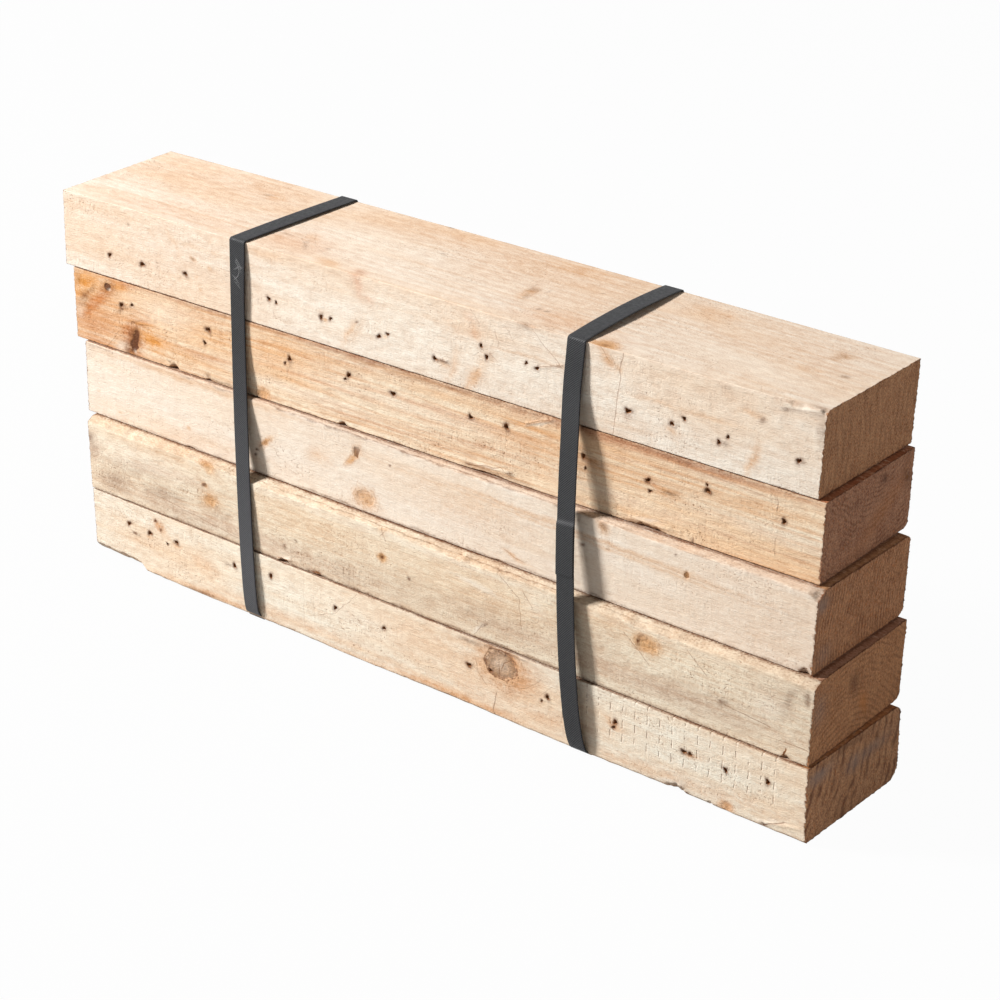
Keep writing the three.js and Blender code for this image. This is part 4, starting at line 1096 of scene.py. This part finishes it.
STRAP_WIDTH = 11.6
STRAP_THICKNESS = 0.8
STRAP_ROUND = 0.25  # taken off the corners of the band's section
STRAP_OFF = 1.1  # from the points that carry a band to its inner face
STRAP_STEP = 0.8  # between the band's cross-sections
FAN_STEP, LEAST_TURN = 0.16, 0.12  # radians between those at a corner; less is no corner
STACK_HEIGHT, STACK_DEPTH = 229.7, 90.0
BOW_TAPER = 0.4  # the lower it is, the nearer to the foot a slack band stands out furthest
WELD, WELD_RAMP = 30.0, 0.8  # the length that is doubled, and in which it grows thick
FRONT_RUN = 12.0  # the depth within which a band's front run lies
RIB_PITCH, RIB_SLANT = 1.3, 0.9
SHARP_PLASTIC = 50


def hugging(strap, height):
    """How far a band's front is drawn in towards the wood, by height: hug * sin^2."""
    low, high, hug = strap["hug"]
    return hug * np.sin(np.pi * np.clip((height - low) / (high - low), 0, 1)) ** 2


def strap_course(strap):
    """The points that carry a band, anticlockwise seen from the left end: down the front in a
    slack bow that is fullest near the foot, a straight chord less bow * t (1 - t)^taper scaled
    to its greatest, then back under the stack, up its back over the corners that stand out
    furthest, and forward over the top, rising there by top_bow * 4 t (1 - t)."""
    (head_y, head_z), (foot_y, foot_z) = strap["front"]
    t = 1 - np.linspace(1, 0, 61) ** 1.5
    fullest = 1 / (1 + BOW_TAPER)
    bulge = t * (1 - t) ** BOW_TAPER / (fullest * (1 - fullest) ** BOW_TAPER)
    level = head_z + (foot_z - head_z) * t
    bowed = head_y + (foot_y - head_y) * t - strap["bow"] * bulge + hugging(strap, level)
    front = np.stack([bowed, level], axis=1)
    back = np.array([(foot_y + strap["tuck"], 1.9), *strap["back"]])
    t = np.linspace(0, 1, 31)[1:-1]
    top = back[-1] + (front[0] - back[-1]) * t[:, None]
    top[:, 1] += strap["top_bow"] * 4 * t * (1 - t)
    return np.concatenate([front, back, top])


def band_path(course):
    """Sections along a band: at each its carrying point and the way outward. A point where the
    course turns gets a fan of directions, and each straight stretch gets even steps."""
    ahead = np.roll(course, -1, axis=0) - course
    reach = np.hypot(ahead[:, 0], ahead[:, 1])
    heading = np.unwrap(np.arctan2(ahead[:, 1], ahead[:, 0]))
    base, facing = [], []
    for i in range(len(course)):
        before = heading[i - 1]
        turn = (heading[i] - before + math.pi) % (2 * math.pi) - math.pi
        fan = before + turn * np.linspace(0, 1, max(2, int(abs(turn) / FAN_STEP) + 1))
        if abs(turn) < LEAST_TURN:
            fan = np.array([before + turn / 2])
        base.append(np.repeat(course[i : i + 1], len(fan), axis=0))
        facing.append(fan)
        steps = int(reach[i] / STRAP_STEP)
        if steps > 1:
            base.append(course[i] + ahead[i] * np.arange(1, steps)[:, None] / steps)
            facing.append(np.full(steps - 1, heading[i]))
    return np.concatenate(base), np.concatenate(facing) - math.pi / 2


def make_strap(strap):
    """A closed band: a flat section with rounded edges, carried along the path. Over the weld
    the two ends lie on each other, so the section is twice as thick there. It leans with the
    stack, so its place along X falls with height, and in front it is twisted about one of its
    edges, by twist degrees."""
    base, facing = band_path(strap_course(strap))
    depth, height = base[:, 0], base[:, 1]
    outward = np.stack([np.zeros(len(facing)), np.cos(facing), np.sin(facing)], axis=1)
    rise, inward = np.clip(height / STACK_HEIGHT, 0, 1), np.clip(depth / STACK_DEPTH, 0, 1)
    in_front = depth < STACK_DEPTH / 2
    falls, sags = strap["swing"]
    middle = strap["place"] + (1 - rise) * (strap["lean"] + falls * (1 - inward))
    middle += strap["skew"] * inward * rise
    middle -= in_front * (sags * 4 * rise * (1 - rise) + hugging(strap, height))
    side, top = strap["weld"]
    foot = top - WELD
    doubled = (in_front == (side == "front")) * ease(height, foot, foot + WELD_RAMP) * (
        1 - ease(height, top - WELD_RAMP, top))
    centre = np.stack([middle, depth, height], axis=1) + STRAP_OFF * outward
    forward = np.roll(centre, -1, axis=0) - np.roll(centre, 1, axis=0)
    across = np.cross(outward, forward)
    across /= np.linalg.norm(across, axis=1)[:, None] * np.sign(across[:, :1])

    degrees, held = strap["twist"]
    (_, head_z), (_, foot_z) = strap["front"]
    down = (head_z - height) / (head_z - foot_z)
    twist = in_front * ease(down, 0, 0.15) * (1 - ease(down, 0.985, 1.0))
    twist = (math.radians(degrees) * twist)[:, None]
    centre -= held * outward * STRAP_WIDTH / 2 * np.sin(twist)
    across, outward = (across * np.cos(twist) + outward * np.sin(twist),
                       outward * np.cos(twist) - across * np.sin(twist))

    half, thick, curve = STRAP_WIDTH / 2, STRAP_THICKNESS, STRAP_ROUND
    face = np.linspace(half - curve, curve - half, 21)
    profile = np.array([
        *((place, thick) for place in face), (-half, thick - curve), (-half, curve),
        *((-place, 0) for place in face[::4]), (half, curve), (half, thick - curve)])
    lift = profile[:, 1] * (1 + doubled[:, None])
    points = (centre[:, None] + across[:, None] * profile[:, :1]
              + outward[:, None] * lift[..., None] + STACK_ORIGIN)
    rows, columns = lift.shape
    number = np.arange(rows * columns).reshape(rows, columns)
    below = np.roll(number, -1, axis=0)
    quads = np.stack([number, np.roll(number, -1, axis=1), np.roll(below, -1, axis=1), below],
                     axis=-1).reshape(-1, 4)
    travelled = np.cumsum(np.linalg.norm(np.diff(centre, axis=0, prepend=centre[:1]), axis=1))
    at_u, at_v = np.tile(profile[:, 0], rows), np.repeat(height, columns)
    near = np.repeat(depth < FRONT_RUN, columns)
    scuff_side, line = thin_lines(at_u, at_v, strap["scuffs"], 7)
    marks = {
        "run": np.repeat(travelled, columns), "across": at_u,
        "side": np.where(near, scuff_side, LINE_REACH), "line": line * near,
        "seam": near * np.exp(-((at_v - top) / 0.9) ** 2) * (side == "front"),
    }
    made = make_mesh(strap["name"] + "_band", points.reshape(-1, 3), [quads], marks, SHARP_PLASTIC)
    made.data.materials.append(strap_plastic(strap, marks))
    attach(made, "root")
    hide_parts(strap["name"])


def strap_plastic(strap, marks):
    """Matte charcoal plastic with slanting ribs, scuffed white in thin scribbles."""
    material = bpy.data.materials.new(strap["name"] + "_plastic")
    tree = new_tree(material)
    mark = {name: join(tree, "Attribute", out=2, attribute_name=name) for name in marks}
    place = join(tree, "TexCoord", out=3)
    low = join(tree, "SeparateXYZ", place, out=2)
    ribs = calc("SINE", (mark["across"] * RIB_SLANT + mark["run"]) * (2 * math.pi / RIB_PITCH))
    dust = chance(place, (500.0, 500.0, 500.0), 3.0, 0.65)
    cloud = chance(place, (40.0, 40.0, 60.0))
    scuff = span(dust * 0.6 + abs(mark["side"]), 0.35, 0.75, 0.5, 0) * mark["line"]
    colour = layered(
        (22, 23, 24), (span(cloud, 0.3, 0.7), (29, 30, 32)),
        (span(ribs, -0.4, 0.7, 0.0, 0.75), (65, 65, 68)),
        (span(low, 0.17, 0.02, 0.0, strap["dusty"]), (104, 104, 108)),
        (span(abs(mark["across"]), 5.3, 5.9) * 0.3, (26, 26, 28)),
        (clamp(scuff), (196, 196, 196)), (mark["seam"] * 0.25, (110, 110, 112)))
    finish_surface(tree, colour, span(dust, 0.3, 0.7, 0.5, 0.68), 0.3, ribs * 0.1 + dust * 0.06,
                   0.6)
    return material


# strap_left: lies nearly square round the stack and is welded behind. In front it is twisted
# about its left edge, and somebody's scuffs cross it near the top.
make_strap({
    "name": "strap_left", "place": -132.2, "lean": 15.9, "skew": 4.0, "swing": (0.0, 0.0),
    "front": ((5.8, 228.9), (-3.5, 4.4)), "bow": 3.5, "hug": (90.0, 229.0, 3.9), "tuck": 1.6,
    "top_bow": 0.4, "twist": (4.5, -1), "dusty": 0.35, "weld": ("back", 131.0),
    "back": [(80.8, 1.9), (83.9, 5), (90.4, 94.9), (92.6, 140.2), (94.5, 187.3), (94.9, 231.93)],
    "scuffs": [(-1, 217, 2, 212, 0.45), (2, 212, -2, 207, 0.5), (-2, 213, 3, 215, 0.35),
               (-1, 205, 2, 203, 0.3), (0, 219, 3, 214, 0.4), (-3, 209, 1, 206, 0.35)],
})

# strap_right: looser, standing off the fronts in a longer bow, twisted about its right edge,
# and welded at the front.
make_strap({
    "name": "strap_right", "place": 104.2, "lean": 18.0, "skew": -3.0, "swing": (3.1, 3.6),
    "front": ((7.4, 228.9), (-4.6, 3.6)), "bow": 8.4, "hug": (175.0, 229.0, 1.4), "tuck": 1.4,
    "top_bow": 1.5, "twist": (1.5, 1), "dusty": 0.0, "weld": ("front", 133.0),
    "back": [(78.7, 1.9), (82.35, 5.5), (94.3, 140.6), (96.2, 185.9), (96.55, 230.6)],
    "scuffs": [],
})


# ---------------------------------------------------------------------------------------------
# The setting: a white floor under a white sky, a broad lamp from the left front, a weak one from
# behind the right end, and the camera.
# ---------------------------------------------------------------------------------------------

WHITE, PAPER_GREY = (1.0, 1.0, 1.0, 1.0), (0.45, 0.45, 0.45, 1.0)
FLOOR_HALF = 6.0
SKY_LEVEL = 0.08  # the light that the sky gives, beside the white that is seen of it
PAPER_SEEN = 0.97  # how much of the floor is seen as plain white, so that shadows only tint it


def seen(tree):
    """1 for rays that see the surface directly, in a mirror or through glass, and 0 for those
    that it only lights."""
    camera, glossy, through = (join(tree, "LightPath", out=name) for name in (
        "Is Camera Ray", "Is Glossy Ray", "Is Transmission Ray"))
    return calc("MAXIMUM", calc("MAXIMUM", camera, glossy), through)


def stand(name, data, axes, spot):
    """An object at a spot, with its own X, Y and Z along the three axes."""
    made = add_object(name, data)
    rows = [(*row, at) for row, at in zip(np.transpose(axes).tolist(), spot)]
    made.matrix_world = Matrix((*rows, (0, 0, 0, 1)))
    return made


def hang_lamp(name, back, spot, side, watts, colour):
    """A square lamp at a spot, which shines the way opposite to the one its back faces."""
    lamp = bpy.data.lights.new(name, "AREA")
    lamp.shape, lamp.size, lamp.size_y = "RECTANGLE", side, side
    lamp.energy, lamp.color = watts, colour
    back = np.array(back) / np.linalg.norm(back)
    level = np.cross((0, 0, 1), back)
    level /= np.linalg.norm(level)
    stand(name, lamp, (level, np.cross(back, level), back), spot)


floor_mesh = bpy.data.meshes.new("floor")
floor_mesh.from_pydata([(FLOOR_HALF * x, FLOOR_HALF * y, 0) for x, y in (
    (-1, -1), (1, -1), (1, 1), (-1, 1))], [], [(0, 1, 2, 3)])
floor = add_object("floor", floor_mesh)
paper = bpy.data.materials.new("floor_paper")
tree = new_tree(paper)
join(tree, "OutputMaterial", join(
    tree, "MixShader", seen(tree) * PAPER_SEEN, join(tree, "BsdfDiffuse", PAPER_GREY),
    join(tree, "Emission", WHITE, 1.0)))
floor_mesh.materials.append(paper)

world = bpy.data.worlds.new("studio")
bpy.context.scene.world = world
tree = new_tree(world)
level = seen(tree) * (1.0 - SKY_LEVEL) + SKY_LEVEL
join(tree, "OutputWorld", join(tree, "Background", WHITE, level))

KEY_BACK, KEY_DISTANCE, STACK_MIDDLE = (-1.5, -0.97, 1.3), 3.6, (0.0, 0.0, 0.12)
key_away = np.array(KEY_BACK) / np.linalg.norm(KEY_BACK) * KEY_DISTANCE
hang_lamp("key", KEY_BACK, key_away + STACK_MIDDLE, 0.62, 210.0, (1.0, 0.995, 0.985))
FILL_SPOT = (1.4, 0.75, 0.5)
hang_lamp("fill", FILL_SPOT, FILL_SPOT, 0.8, 5.2, (1.0, 0.985, 0.98))

CAMERA_SPOT = (0.78669, -0.97981, 0.67589)
CAMERA_YAW, CAMERA_PITCH, CAMERA_ROLL = -0.6567, -0.4328, 0.0217
camera = bpy.data.cameras.new("camera")
camera.lens, camera.sensor_width = 88.04, 36.0
gaze = np.array([math.sin(CAMERA_YAW) * math.cos(CAMERA_PITCH),
                 math.cos(CAMERA_YAW) * math.cos(CAMERA_PITCH), math.sin(CAMERA_PITCH)])
level_right = np.array([math.cos(CAMERA_YAW), -math.sin(CAMERA_YAW), 0.0])
level_up = np.cross(level_right, gaze)
right = math.cos(CAMERA_ROLL) * level_right + math.sin(CAMERA_ROLL) * level_up
above = math.cos(CAMERA_ROLL) * level_up - math.sin(CAMERA_ROLL) * level_right
bpy.context.scene.camera = stand("camera", camera, (right, above, -gaze), CAMERA_SPOT)
bpy.context.scene.view_settings.view_transform = "Standard"
